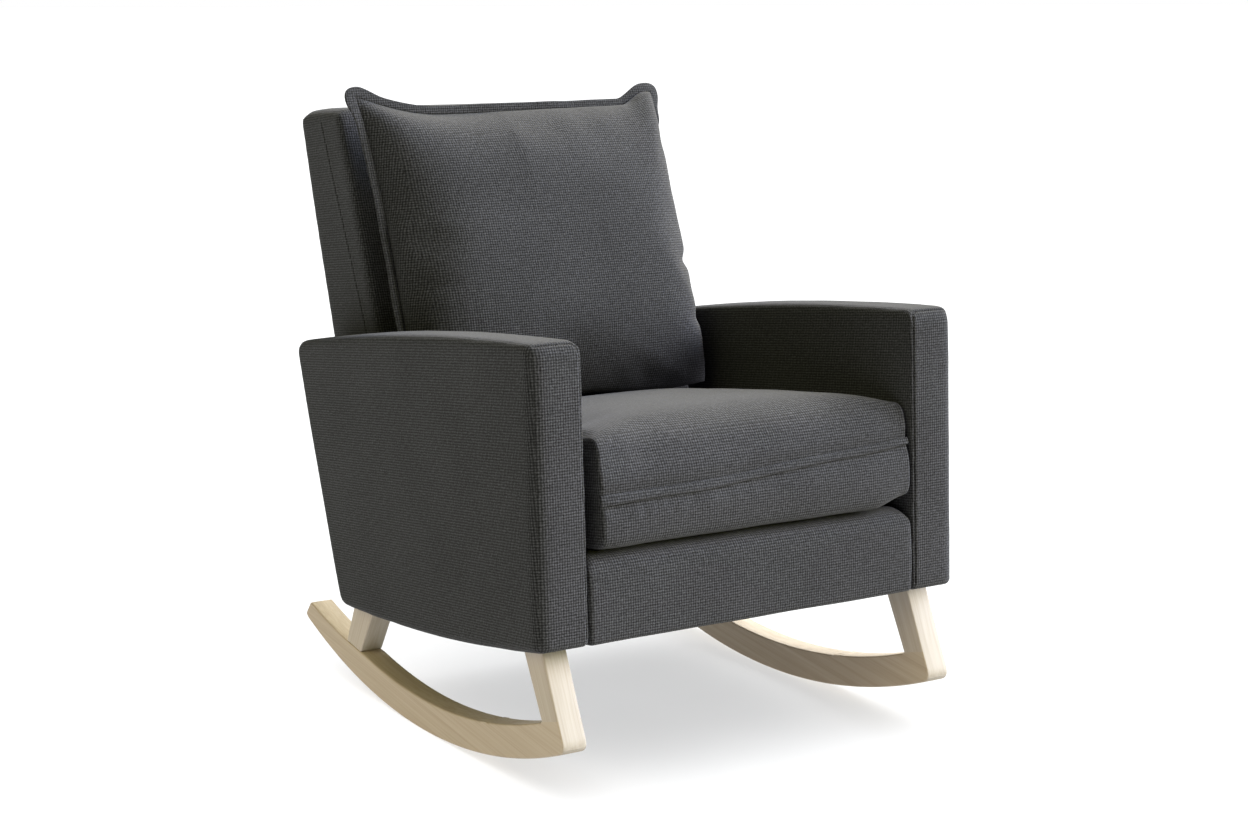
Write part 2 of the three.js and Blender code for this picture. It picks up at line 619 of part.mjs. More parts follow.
// ---- Assembly ----
function runnersAndLegs() {
  const x0 = RUNNER_INNER_X;
  const x1 = RUNNER_OUTER_X;
  const runner = extrudeAcross(runnerShape(), x0, x1, WOOD_EASE, 3, 1);
  addPair(floorGroup, "runner", runner, paleWood);

  // What a leg must stay clear of: the arm's outer form above and the runner below, both slightly grown.
  const armAbove = extrudeAcross(armShape, ARM_INNER_X, ARM_OUTER_X, 0, ARM_CURVE_STEPS);
  armAbove.translate(0, 0, -CLEAR);
  armAbove.rotateX(-RECLINE).translate(0, 0, BASE_HEIGHT);
  const runnerBelow = extrudeAcross(runnerShape(), x0 - 1, x1 + 1);
  runnerBelow.translate(0, 0, CLEAR);
  const studHoles = LEG_MOUNTS.map((mount) =>
    studHole(mount, STUD.bottom - 1).rotateX(-RECLINE).translate(0, 0, BASE_HEIGHT),
  );
  const front = legGeometry(FRONT_LEG, FRONT_LEG_SPAN);
  addPair(floorGroup, "front_leg", cut(front, [armAbove, runnerBelow, studHoles[0]]), paleWood);
  const rear = legGeometry(REAR_LEG, REAR_LEG_SPAN);
  addPair(floorGroup, "rear_leg", cut(rear, [armAbove, runnerBelow, studHoles[1]]), paleWood);
}

runnersAndLegs();
addPair(bodyGroup, "arm_upholstery", armCover(), charcoalFabric);
armFrame();
LEG_MOUNTS.forEach(legPlate);
armTieScrews();
seatFrame();
seatSprings();
seatDeckAndCovers();
backUpholstery();
backFrame();
seatCushion();
backCushion();

// The origin is the middle of the chair's footprint, on the floor.
const chair = new THREE.Group();
chair.add(floorGroup, bodyGroup);
chair.updateMatrixWorld(true);
const extent = new THREE.Box3().setFromObject(chair, true);
chair.position.set(0, -(extent.min.y + extent.max.y) / 2, -extent.min.z);

export default chair;
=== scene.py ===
"""Looks for the upholstered rocking chair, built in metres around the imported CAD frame."""

import json
import math

import bmesh
import bpy
import numpy as np
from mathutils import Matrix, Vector, kdtree, noise
from mathutils.bvhtree import BVHTree
from mathutils.geometry import convex_hull_2d


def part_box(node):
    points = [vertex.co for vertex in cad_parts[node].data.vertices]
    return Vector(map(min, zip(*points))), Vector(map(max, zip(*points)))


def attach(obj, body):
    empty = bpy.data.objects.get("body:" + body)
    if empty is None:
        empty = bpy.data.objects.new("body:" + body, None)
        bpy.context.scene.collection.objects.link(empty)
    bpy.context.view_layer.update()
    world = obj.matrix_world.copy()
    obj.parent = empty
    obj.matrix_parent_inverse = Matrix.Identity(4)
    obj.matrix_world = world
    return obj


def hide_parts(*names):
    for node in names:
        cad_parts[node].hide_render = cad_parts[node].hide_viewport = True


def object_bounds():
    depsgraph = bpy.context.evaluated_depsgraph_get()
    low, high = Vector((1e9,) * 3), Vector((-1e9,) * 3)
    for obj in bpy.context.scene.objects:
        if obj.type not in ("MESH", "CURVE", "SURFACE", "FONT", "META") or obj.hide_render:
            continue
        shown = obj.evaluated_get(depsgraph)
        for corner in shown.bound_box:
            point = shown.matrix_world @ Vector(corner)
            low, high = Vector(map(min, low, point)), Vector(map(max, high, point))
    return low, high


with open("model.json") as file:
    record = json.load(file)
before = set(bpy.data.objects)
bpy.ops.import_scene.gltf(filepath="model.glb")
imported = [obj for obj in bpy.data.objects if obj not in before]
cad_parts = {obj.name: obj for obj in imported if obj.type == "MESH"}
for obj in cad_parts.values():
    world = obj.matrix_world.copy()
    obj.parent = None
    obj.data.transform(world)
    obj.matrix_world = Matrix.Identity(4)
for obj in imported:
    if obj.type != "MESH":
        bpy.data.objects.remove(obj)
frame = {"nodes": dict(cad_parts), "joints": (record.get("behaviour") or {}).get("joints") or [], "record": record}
cad_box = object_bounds()
SIDES = {"left": -1, "right": 1}

# ---- The body's own upright frame ----
# The body leans back on its runners. Upholstery is drawn upright, from the underside of the body,
# and leant back at the end. The lean is that of the joint that the seat cushion slides out along.
SLIDE = next(joint for joint in frame["joints"] if joint["name"] == "seat_cushion_slide")
RECLINE = math.atan2(SLIDE["axis"][2], -SLIDE["axis"][1])
RAIL_FRONT_Y = -0.392  # the wooden front rail's face, from the body's reference line
RAIL_BOTTOM_Z = 0.004  # its underside, from the body's underside


def turned(points, angle):
    """Points turned about the X axis."""
    points = np.atleast_2d(np.asarray(points, float))
    c, s = math.cos(angle), math.sin(angle)
    x, y, z = points.T
    return np.stack([x, y * c - z * s, y * s + z * c], 1)


def node_points(node):
    return np.array([v.co for v in frame["nodes"][node].data.vertices], float)


rail_low = turned(node_points("seat_front_rail"), RECLINE).min(0)
BODY_ORIGIN = np.array([0, rail_low[1] - RAIL_FRONT_Y, rail_low[2] - RAIL_BOTTOM_Z])


def to_row(points):
    """From the body's upright frame to the row frame."""
    return turned(np.atleast_2d(points) + BODY_ORIGIN, -RECLINE)


def body_box(node):
    """Lowest and highest corners of a CAD node in the body's upright frame."""
    points = turned(node_points(node), RECLINE) - BODY_ORIGIN
    return points.min(0), points.max(0)


ARM_LOW, ARM_HIGH = body_box("right_arm_upholstery")
BACK_LOW, BACK_HIGH = body_box("back_upholstery")
FRONT_RAIL_LOW, FRONT_RAIL_HIGH = body_box("front_rail_upholstery")
SEAT_LOW, SEAT_HIGH = body_box("seat_cushion")
PILLOW_LOW, _ = body_box("back_cushion")
DECK_LOW, DECK_HIGH = body_box("seat_deck")
DUST_LOW, DUST_HIGH = body_box("dust_cover")
ARM_INNER_X, ARM_OUTER_X = ARM_LOW[0], ARM_HIGH[0]


# ---- Camera ----
CAMERA_AZIMUTH = math.radians(-31.97)
CAMERA_ELEVATION = math.radians(10.46)
CAMERA_DISTANCE = 3.5
CAMERA_AIM = Vector((-0.0237, -0.1281, 0.4992 * cad_box[1][2]))
CAMERA_LENS = 65.6


def make_camera():
    data = bpy.data.cameras.new("camera")
    data.lens = CAMERA_LENS
    data.sensor_width = 36
    camera = bpy.data.objects.new("camera", data)
    back = Vector((
        math.sin(CAMERA_AZIMUTH) * math.cos(CAMERA_ELEVATION),
        -math.cos(CAMERA_AZIMUTH) * math.cos(CAMERA_ELEVATION),
        math.sin(CAMERA_ELEVATION),
    ))
    camera.location = CAMERA_AIM + back * CAMERA_DISTANCE
    camera.rotation_euler = (math.pi / 2 - CAMERA_ELEVATION, 0, CAMERA_AZIMUTH)
    bpy.context.scene.collection.objects.link(camera)
    bpy.context.scene.camera = camera


# ---- Materials ----
class Nodes:
    """A material's node tree, with short calls for the nodes that the looks below use."""

    def __init__(self, name):
        self.material = bpy.data.materials.new(name)
        self.material.use_nodes = True
        self.tree = self.material.node_tree
        self.shader = self.tree.nodes["Principled BSDF"]

    def link(self, source, target):
        self.tree.links.new(source, target)

    def add(self, kind, **settings):
        node = self.tree.nodes.new(kind)
        for key, value in settings.items():
            setattr(node, key, value)
        return node

    def put(self, value, socket):
        """Links a socket's output to an input, or sets the input to a plain value."""
        if isinstance(value, bpy.types.NodeSocket):
            self.link(value, socket)
        else:
            socket.default_value = value

    def math(self, operation, a, b=0.0):
        node = self.add("ShaderNodeMath", operation=operation)
        self.put(a, node.inputs[0])
        self.put(b, node.inputs[1])
        return node.outputs[0]

    def weighted(self, *parts):
        """The sum of (value, weight) pairs."""
        total = 0.0
        for value, weight in parts:
            total = self.math("ADD", total, self.math("MULTIPLY", value, weight))
        return total

    def split(self, vector):
        node = self.add("ShaderNodeSeparateXYZ")
        self.link(vector, node.inputs[0])
        return node.outputs

    def join(self, x, y, z):
        node = self.add("ShaderNodeCombineXYZ")
        for value, socket in zip((x, y, z), node.inputs):
            self.put(value, socket)
        return node.outputs[0]

    def place(self, angle=(0, 0, 0), scale=(1, 1, 1)):
        """The row frame's coordinates, turned and then scaled."""
        turn = self.add("ShaderNodeVectorRotate", rotation_type="EULER_XYZ")
        turn.inputs["Rotation"].default_value = angle
        self.link(self.add("ShaderNodeTexCoord").outputs["Object"], turn.inputs["Vector"])
        stretch = self.add("ShaderNodeVectorMath", operation="MULTIPLY")
        self.link(turn.outputs[0], stretch.inputs[0])
        stretch.inputs[1].default_value = scale
        return stretch.outputs[0]

    def noise(self, vector, scale, detail=2.0, roughness=0.5):
        node = self.add("ShaderNodeTexNoise")
        self.link(vector, node.inputs["Vector"])
        node.inputs["Scale"].default_value = scale
        node.inputs["Detail"].default_value = detail
        node.inputs["Roughness"].default_value = roughness
        return node.outputs["Fac"]

    def spread(self, value, low, high):
        """Maps low..high to 0..1, clamped."""
        node = self.add("ShaderNodeMapRange")
        self.link(value, node.inputs["Value"])
        node.inputs["From Min"].default_value = low
        node.inputs["From Max"].default_value = high
        return node.outputs[0]

    def ramp(self, value, *stops):
        node = self.add("ShaderNodeValToRGB")
        elements = node.color_ramp.elements
        while len(elements) < len(stops):
            elements.new(0.5)
        for element, (position, color) in zip(elements, stops):
            element.position = position
            element.color = (*color, 1)
        self.link(value, node.inputs[0])
        return node.outputs[0]

    def mix(self, amount, a, b):
        node = self.add("ShaderNodeMix", data_type="RGBA")
        self.put(amount, node.inputs[0])
        self.put(a if isinstance(a, bpy.types.NodeSocket) else (*a, 1), node.inputs[6])
        self.put(b if isinstance(b, bpy.types.NodeSocket) else (*b, 1), node.inputs[7])
        return node.outputs[2]

    def bump(self, height, distance, strength):
        node = self.add("ShaderNodeBump")
        node.inputs["Distance"].default_value = distance
        node.inputs["Strength"].default_value = strength
        self.link(height, node.inputs["Height"])
        return node.outputs[0]

    def finish(self, color, roughness, normal=None, metallic=0.0, **plain):
        self.put(color, self.shader.inputs["Base Color"])
        self.put(roughness, self.shader.inputs["Roughness"])
        self.shader.inputs["Metallic"].default_value = metallic
        if normal is not None:
            self.link(normal, self.shader.inputs["Normal"])
        for name, value in plain.items():
            self.shader.inputs[name.replace("_", " ")].default_value = value
        return self.material


def cloth_plane(n):
    """Two coordinates that lie in the cloth, in metres: across and along it, by the way it faces."""
    x, y, z = n.split(n.place(angle=(RECLINE, 0, 0)))
    turn = n.add("ShaderNodeVectorRotate", rotation_type="EULER_XYZ")
    turn.inputs["Rotation"].default_value = (RECLINE, 0, 0)
    n.link(n.add("ShaderNodeNewGeometry").outputs["Normal"], turn.inputs["Vector"])
    facing = [n.math("ABSOLUTE", component) for component in n.split(turn.outputs[0])]
    sideways = n.math("GREATER_THAN", facing[0], n.math("MAXIMUM", facing[1], facing[2]))
    upwards = n.math("GREATER_THAN", facing[2], n.math("MAXIMUM", facing[0], facing[1]))
    across = n.math("ADD", x, n.math("MULTIPLY", sideways, n.math("SUBTRACT", y, x)))
    along = n.math("ADD", z, n.math("MULTIPLY", upwards, n.math("SUBTRACT", y, z)))
    return across, along


THREAD = 0.0040  # from one thick thread to the next


def charcoal_fabric():
    """Melange basket weave: dark and mid grey threads, slubs both ways and a fuzzy face."""
    n = Nodes("charcoal_fabric")
    across, along = cloth_plane(n)
    flat = n.join(across, along, 0.0)
    threads = []
    for place, drift in ((across, 160), (along, 150)):
        place = n.weighted((place, 1.0), (n.noise(flat, drift, 1.0), 0.0018))
        threads.append(n.math("SINE", n.math("MULTIPLY", place, 2 * math.pi / THREAD)))
    weave = n.weighted((threads[0], 0.25), (threads[1], 0.25), (0.5, 1.0))
    speckle = n.spread(n.noise(flat, 330, 2.0, 0.6), 0.32, 0.68)
    warp_slub = n.noise(n.join(n.math("MULTIPLY", across, 6.0), along, 0.0), 75, 2.0)
    weft_slub = n.noise(n.join(across, n.math("MULTIPLY", along, 6.0), 3.0), 75, 2.0)
    cloud = n.spread(n.noise(n.place(), 9, 3.0), 0.25, 0.75)
    tone = n.weighted((weave, 0.50), (speckle, 0.24), (n.spread(warp_slub, 0.3, 0.7), 0.11),
                      (n.spread(weft_slub, 0.3, 0.7), 0.09), (cloud, 0.06))
    color = n.ramp(tone, (0.20, (0.004, 0.0038, 0.0035)), (0.50, (0.026, 0.0255, 0.026)),
                   (0.80, (0.072, 0.072, 0.075)))
    normal = n.bump(n.weighted((weave, 0.6), (speckle, 0.4)), 0.0004, 0.7)
    return n.finish(color, 0.95, normal, Specular_IOR_Level=0.12, Sheen_Weight=0.07,
                    Sheen_Roughness=0.5)


def wood(name, angle, light, mid, dark):
    """Sawn wood. The grain runs along the row frame's Y axis turned by angle in the side view."""
    n = Nodes(name)
    turn = (-angle, 0, 0)
    wander = n.noise(n.place(turn, (1, 0.10, 1)), 12, 2.0)
    lines = n.noise(n.place(turn, (1, 0.010, 1)), 330, 2.0, 0.55)
    bands = n.noise(n.place(turn, (1, 0.016, 1)), 95, 2.0, 0.5)
    fibre = n.noise(n.place(turn, (1, 0.03, 1)), 1100, 1.0, 0.6)
    tone = n.weighted((n.spread(lines, 0.28, 0.72), 0.42), (n.spread(bands, 0.3, 0.7), 0.24),
                      (fibre, 0.16), (wander, 0.22))
    color = n.ramp(tone, (0.22, dark), (0.52, mid), (0.82, light))
    normal = n.bump(tone, 0.0002, 0.5)
    rough = n.math("ADD", 0.5, n.math("MULTIPLY", fibre, 0.16))
    return n.finish(color, rough, normal, Specular_IOR_Level=0.35)


def leg_wood(name, angle):
    return wood(name, angle, (0.355, 0.32, 0.27), (0.32, 0.287, 0.238), (0.275, 0.24, 0.19))


def runner_wood(name, angle):
    return wood(name, angle, (0.355, 0.305, 0.235), (0.315, 0.267, 0.20), (0.26, 0.215, 0.155))


def frame_wood():
    return wood("frame_wood", 0.0, (0.56, 0.38, 0.21), (0.44, 0.28, 0.145), (0.30, 0.18, 0.085))


def metal(name, color, roughness, streak):
    """Drawn or plated steel, with fine streaks and a few dull patches."""
    n = Nodes(name)
    fine = n.noise(n.place((0, 0, 0), (1, 1, streak)), 900, 2.0)
    patch = n.spread(n.noise(n.place(), 60, 2.0), 0.35, 0.75)
    shade = n.mix(patch, tuple(0.75 * c for c in color), color)
    rough = n.math("ADD", n.math("MULTIPLY", fine, 0.2), roughness - 0.1)
    return n.finish(shade, rough, n.bump(fine, 0.0001, 0.4), metallic=1.0)


def black_cloth():
    """Thin black spun cloth, with its pressed dimples."""
    n = Nodes("black_cloth")
    across, along = cloth_plane(n)
    dimples = n.math("MULTIPLY", n.math("SINE", n.math("MULTIPLY", across, 2600.0)),
                     n.math("SINE", n.math("MULTIPLY", along, 2600.0)))
    fibre = n.noise(n.place(), 900, 3.0)
    color = n.ramp(fibre, (0.3, (0.008, 0.008, 0.009)), (0.7, (0.022, 0.022, 0.024)))
    height = n.weighted((dimples, 0.4), (fibre, 1.0))
    return n.finish(color, 0.85, n.bump(height, 0.0003, 0.7), Specular_IOR_Level=0.3)


def webbing():
    """Jute webbing with coarse threads."""
    n = Nodes("webbing")
    x, _, z = n.split(n.place(angle=(RECLINE, 0, 0)))
    threads = n.math("MULTIPLY", n.math("SINE", n.math("MULTIPLY", x, 1400.0)),
                     n.math("SINE", n.math("MULTIPLY", z, 1400.0)))
    fibre = n.noise(n.place(), 500, 3.0)
    tone = n.weighted((threads, 0.15), (fibre, 1.0))
    color = n.ramp(tone, (0.3, (0.14, 0.10, 0.055)), (0.7, (0.36, 0.27, 0.16)))
    return n.finish(color, 0.9, n.bump(tone, 0.0006, 0.8))


def thread_material():
    """Spun sewing thread, a shade darker than the fabric."""
    n = Nodes("sewing_thread")
    twist = n.noise(n.place(), 2200, 1.0)
    color = n.ramp(twist, (0.3, (0.014, 0.013, 0.012)), (0.7, (0.034, 0.032, 0.030)))
    return n.finish(color, 0.8, n.bump(twist, 0.0002, 0.5))


# ---- Mesh helpers ----
def new_object(name, points, faces, upright=True, voxel=None, smoothing=4):
    """A smooth-shaded mesh object. Points are in the body's upright frame, or in the row frame.
    With a voxel size, the surface is first laid out again in even, softened quads."""
    mesh = bpy.data.meshes.new(name)
    mesh.from_pydata(np.asarray(points, float).tolist(), [], faces)
    mesh.validate()
    obj = bpy.data.objects.new(name, mesh)
    bpy.context.scene.collection.objects.link(obj)
    if voxel:
        remesh = obj.modifiers.new("even quads", "REMESH")
        remesh.mode = "VOXEL"
        remesh.voxel_size = voxel
        soften = obj.modifiers.new("soften", "SMOOTH")
        soften.factor = 0.5
        soften.iterations = smoothing
        bake_modifiers(obj)
    if upright:
        write_vertices(obj, to_row(vertex_array(obj)))
    obj.data.shade_smooth()
    return obj


def dress(obj, body, slot, material, *nodes):
    """Gives a piece its body and material, and hides the CAD nodes that it stands for. The slot argument is not
    used.
    """
    obj.data.materials.clear()
    obj.data.materials.append(material)
    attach(obj, body)
    if nodes:
        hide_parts(*nodes)


def ring_faces(rings, around, closed=True):
    """Quads between neighbouring rings of points that are stored one ring after the other."""
    last = around if closed else around - 1
    return [
        (i * around + j, i * around + (j + 1) % around,
         (i + 1) * around + (j + 1) % around, (i + 1) * around + j)
        for i in range(rings - 1)
        for j in range(last)
    ]


def tube_faces(rings, around):
    """Faces for rings of points one after another, with a flat face over each end."""
    last = (rings - 1) * around
    ends = [tuple(range(around))[::-1], tuple(range(last, last + around))]
    return ring_faces(rings, around) + ends


def smoothstep(t):
    t = np.clip(t, 0, 1)
    return t * t * (3 - 2 * t)


def rounded_outline(corners, bows, spacing):
    """A closed (y, z) outline, anticlockwise. Corners are (y, z, radius); bows[i] arches the edge
    after corner i outwards by that height. Returns evenly spaced points and their outward normals."""
    bows = bows or [0] * len(corners)
    points = []
    count = len(corners)
    for i, (y, z, radius) in enumerate(corners):
        here = np.array([y, z])
        before = np.array(corners[i - 1][:2])
        after = np.array(corners[(i + 1) % count][:2])
        into = (here - before) / np.linalg.norm(here - before)
        out = (after - here) / np.linalg.norm(after - here)
        turn = math.acos(np.clip(into @ out, -1, 1))
        setback = radius * math.tan(turn / 2)
        centre = here - into * setback + radius * np.array([-into[1], into[0]])
        for k in range(9):
            a = turn * k / 8
            arm = np.array([into[1], -into[0]]) * radius
            c, s = math.cos(a), math.sin(a)
            points.append(centre + np.array([arm[0] * c - arm[1] * s, arm[0] * s + arm[1] * c]))
        next_radius = corners[(i + 1) % count][2]
        start = points[-1]
        end = after - out * next_radius
        outward = np.array([out[1], -out[0]])
        for k in range(1, 24):
            t = k / 24
            points.append(start + (end - start) * t + outward * bows[i] * 4 * t * (1 - t))
    points = np.array(points)
    closed = np.vstack([points, points[:1]])
    length = np.concatenate([[0], np.cumsum(np.linalg.norm(np.diff(closed, axis=0), axis=1))])
    wanted = np.linspace(0, length[-1], max(12, int(length[-1] / spacing)) + 1)[:-1]
    even = np.stack([np.interp(wanted, length, closed[:, k]) for k in (0, 1)], 1)
    along = np.roll(even, -1, 0) - np.roll(even, 1, 0)
    along /= np.linalg.norm(along, axis=1)[:, None]
    return even, np.stack([along[:, 1], -along[:, 0]], 1)


def softened_prism(outline, normals, x_low, x_high, low_radius, high_radius, spacing=0.005, rings=24):
    """Extrudes a convex (y, z) outline across X with rounded edges. The radii are arrays, one value
    for each outline point. Both ends are filled by rings that shrink to the middle of the outline."""
    around = len(outline)
    sections = []

    def section(x, inset):
        flat = outline - normals * inset[:, None]
        sections.append(np.column_stack([np.broadcast_to(x, around), flat]))

    def end(x, radius, sign):
        middle = (outline - normals * radius[:, None]).mean(0)
        edge = outline - normals * radius[:, None]
        for k in range(rings):
            share = (k + 0.4) / rings
            flat = middle + (edge - middle) * share
            sections.append(np.column_stack([np.full(around, x), flat]))
        for k in range(7):
            a = math.pi / 2 * k / 6
            section(x + sign * radius * (1 - math.cos(a)), radius * (1 - math.sin(a)))

    end(x_low, low_radius, 1)
    inner = x_low + low_radius
    outer = x_high - high_radius
    steps = max(2, int(float((x_high - x_low)) / spacing))
    for k in range(1, steps):
        section(inner + (outer - inner) * k / steps, np.zeros(around))
    count = len(sections)
    end(x_high, high_radius, -1)
    sections[count:] = sections[count:][::-1]
    return np.vstack(sections), tube_faces(len(sections), around)


def vertex_array(obj, what="co"):
    values = np.empty(len(obj.data.vertices) * 3, np.float32)
    if what == "normal":
        obj.data.vertex_normals.foreach_get("vector", values)
    else:
        obj.data.vertices.foreach_get(what, values)
    return values.reshape(-1, 3).astype(float)


def write_vertices(obj, points):
    obj.data.vertices.foreach_set("co", np.asarray(points, np.float32).ravel())
    obj.data.update()


def unevenness(obj, amount, size, seed):
    """Stuffing and cloth are never quite even: moves the surface in and out by a smooth noise."""
    points = vertex_array(obj)
    normals = vertex_array(obj, "normal")
    offset = Vector((seed * 7.3, seed * 3.1, seed * 1.7))
    lift = np.array([noise.noise(Vector(p) / size + offset) for p in points])
    write_vertices(obj, points + normals * (lift * amount)[:, None])


def path_distance(points, path, reach):
    """Distance from each point to a path, or a large number where it is past reach."""
    tree = kdtree.KDTree(len(path))
    for i, point in enumerate(path):
        tree.insert(point, i)
    tree.balance()
    low, high = path.min(0) - reach, path.max(0) + reach
    near = np.flatnonzero(((points > low) & (points < high)).all(1))
    distance = np.full(len(points), 1.0)
    distance[near] = [tree.find(points[i])[2] for i in near]
    return distance


def refine_near(obj, path, reach, cuts=1):
    """Splits the edges within reach of a path, so that a seam can be pressed in there."""
    distance = path_distance(vertex_array(obj), path, reach + 0.01)
    bm = bmesh.new()
    bm.from_mesh(obj.data)
    near = [e for e in bm.edges if min(distance[e.verts[0].index], distance[e.verts[1].index]) < reach]
    bmesh.ops.subdivide_edges(bm, edges=near, cuts=cuts, use_grid_fill=True)
    bm.to_mesh(obj.data)
    bm.free()
    obj.data.shade_smooth()


def press_seam(obj, path, depth, width, rise):
    """Presses a groove along a path in row coordinates, with the cloth rising a little beside it."""
    path = resampled(path, 0.0015)
    refine_near(obj, path, width * 2)
    refine_near(obj, path, width)
    points = vertex_array(obj)
    normals = vertex_array(obj, "normal")
    distance = path_distance(points, path, 4 * width)
    groove = -depth * np.exp(-((distance / (0.5 * width)) ** 2))
    shoulder = rise * np.exp(-(((distance - 1.4 * width) / width) ** 2))
    write_vertices(obj, points + normals * (groove + shoulder)[:, None])


def resampled(path, spacing):
    path = np.asarray(path, float)
    length = np.concatenate([[0], np.cumsum(np.linalg.norm(np.diff(path, axis=0), axis=1))])
    wanted = np.linspace(0, length[-1], max(3, int(length[-1] / spacing)))
    return np.stack([np.interp(wanted, length, path[:, k]) for k in range(3)], 1)


def surface_finder(obj):
    bpy.context.view_layer.update()
    return BVHTree.FromObject(obj, bpy.context.evaluated_depsgraph_get())


def stitches(name, path, body, thread, length=0.0034, gap=0.0016, radius=0.0006):
    """A row of short stitches along a path in row coordinates, each a thread with round ends."""
    path = resampled(path, (length + gap) / 2)
    points, faces = [], []
    for a, b in zip(path[:-1:2], path[1::2]):
        along = b - a
        middle = (a + b) / 2
        along = along / np.linalg.norm(along)
        side = np.cross(along, (0.3, 0.5, 0.81))
        side /= np.linalg.norm(side)
        other = np.cross(along, side)
        start = len(points)
        for share, size in ((-0.5, 0.35), (-0.42, 0.85), (0, 1), (0.42, 0.85), (0.5, 0.35)):
            for k in range(6):
                turn = side * math.cos(k * math.pi / 3) + other * math.sin(k * math.pi / 3)
                points.append(middle + along * length * share + turn * radius * size)
        faces += [tuple(start + i for i in face) for face in tube_faces(5, 6)]
    row = new_object(name, points, faces, upright=False)
    dress(row, body, "charcoal_fabric", thread)


def mirrored_points(points):
    return np.asarray(points) * np.array([-1, 1, 1])


def mirrored_faces(faces):
    return [tuple(reversed(face)) for face in faces]


# ---- Arms ----
ARM_FRONT_Y = -0.412
ARM_FRONT_LEAN = -0.0735
ARM_REAR_Y = 0.233
ARM_REAR_LEAN = 0.245
ARM_TOP_ARCH = 0.011
ARM_UNDERSIDE_BOW = 0.012
ARM_TOP_Z = ARM_HIGH[2] - ARM_TOP_ARCH
CUSHION_LIMIT_X = ARM_INNER_X - 0.0006  # the loose cushions just clear the arms


def arm_front_y(z):
    return ARM_FRONT_Y + ARM_FRONT_LEAN * z


def arm_outline():
    corners = [
        (arm_front_y(0), -0.001, 0.010),
        (ARM_REAR_Y, 0, 0.022),
        (ARM_REAR_Y + ARM_REAR_LEAN * ARM_TOP_Z, ARM_TOP_Z, 0.020),
        (arm_front_y(ARM_TOP_Z), ARM_TOP_Z - 0.001, 0.022),
    ]
    return rounded_outline(corners, [ARM_UNDERSIDE_BOW, 0, ARM_TOP_ARCH, 0], 0.0045)


def arm_cover(fabric, thread):
    """Each arm: padded top and inner side, and an outer panel that wraps round to the front."""
    outline, normals = arm_outline()
    front = smoothstep((-normals[:, 0] - 0.5) / 0.4)
    top = smoothstep((normals[:, 1] - 0.5) / 0.4)
    under = smoothstep((-normals[:, 1] - 0.5) / 0.4)
    outer_radius = 0.009 + 0.010 * front + 0.003 * top + 0.001 * under
    inner_radius = 0.006 - 0.003 * front + 0.007 * top - 0.001 * under
    points, faces = softened_prism(outline, normals, ARM_INNER_X, ARM_OUTER_X, inner_radius, outer_radius)
    points += arm_fullness(points)
    for side, sign in SIDES.items():
        here = points if sign > 0 else mirrored_points(points)
        order = faces if sign > 0 else mirrored_faces(faces)
        arm = new_object(f"{side}_arm_cover", here, order, voxel=0.0048, smoothing=3)
        unevenness(arm, 0.0008, 0.11, 1.0 + sign)
        seam = laid_on(arm, arm_seam(sign), 0.0)
        press_seam(arm, seam, 0.0022, 0.0030, 0.0006)
        dress(arm, "chair", "charcoal_fabric", fabric, f"{side}_arm_upholstery")
        stitches(f"{side}_arm_stitching", laid_on(arm, seam, -0.0002), "chair", thread)


def arm_fullness(points):
    """The flat faces swell by a millimetre or two towards their middles."""
    x, y, z = points.T
    along = np.clip(1 - ((y + 0.06) / 0.40) ** 4, 0, 1)
    up = np.clip(1 - ((z - 0.21) / 0.235) ** 4, 0, 1)
    half = (ARM_OUTER_X - ARM_INNER_X) / 2
    side = np.clip((x - ARM_INNER_X - half) / half, -1, 1)
    push = np.zeros_like(points)
    push[:, 0] = 0.0030 * smoothstep(side) * along * up
    push[:, 1] = -0.0020 * smoothstep((-y - 0.38) / 0.03) * up * (1 - side ** 2)
    push[:, 2] = 0.0010 * smoothstep((z - 0.40) / 0.02) * (1 - side ** 2)
    return push


def arm_seam(sign):
    """The seam along the edge between the top and the front, then down the front's inner edge."""
    inner = ARM_INNER_X + 0.0042
    corner = 0.012
    top = ARM_TOP_Z - 0.0035
    across = np.linspace(ARM_OUTER_X - 0.012, inner + corner, 30)
    bend = np.linspace(0, math.pi / 2, 10)[1:-1]
    down = np.linspace(top - corner, 0.010, 60)
    x = np.concatenate([across, inner + corner * (1 - np.sin(bend)), np.full(60, inner)])
    z = np.concatenate([np.full(30, top), top - corner * (1 - np.cos(bend)), down])
    back = 0.007 * np.clip((z - top) / corner + 1, 0, 1) ** 2
    return to_row(np.column_stack([sign * x, arm_front_y(z) + back, z]))


def laid_on(obj, path, lift):
    """Moves a path onto a piece's surface, then out by lift."""
    tree = surface_finder(obj)
    found = [tree.find_nearest(Vector(point)) for point in path]
    return np.array([list(place + normal * lift) for place, normal, _, _ in found])


# ---- Front rail, seat deck and dust cover ----
def front_rail_cover(fabric):
    low, high = FRONT_RAIL_LOW, FRONT_RAIL_HIGH
    rear_y = high[1]
    corners = [
        (arm_front_y(low[2]), low[2], 0.006),
        (rear_y, low[2], 0.003),
        (rear_y, high[2] + 0.0005, 0.006),
        (arm_front_y(high[2]), high[2] - 0.006, 0.028),
    ]
    outline, normals = rounded_outline(corners, [0, 0, 0.0015, 0.002], 0.003)
    top = smoothstep((normals[:, 1] - 0.3) / 0.6)
    radius = 0.0035 + 0.0115 * top
    points, faces = softened_prism(outline, normals, low[0], high[0], radius, radius, 0.006, 4)
    rail = new_object("front_rail_cover", points, faces, voxel=0.004, smoothing=3)
    unevenness(rail, 0.0009, 0.10, 3.0)
    dress(rail, "chair", "charcoal_fabric", fabric, "front_rail_upholstery")


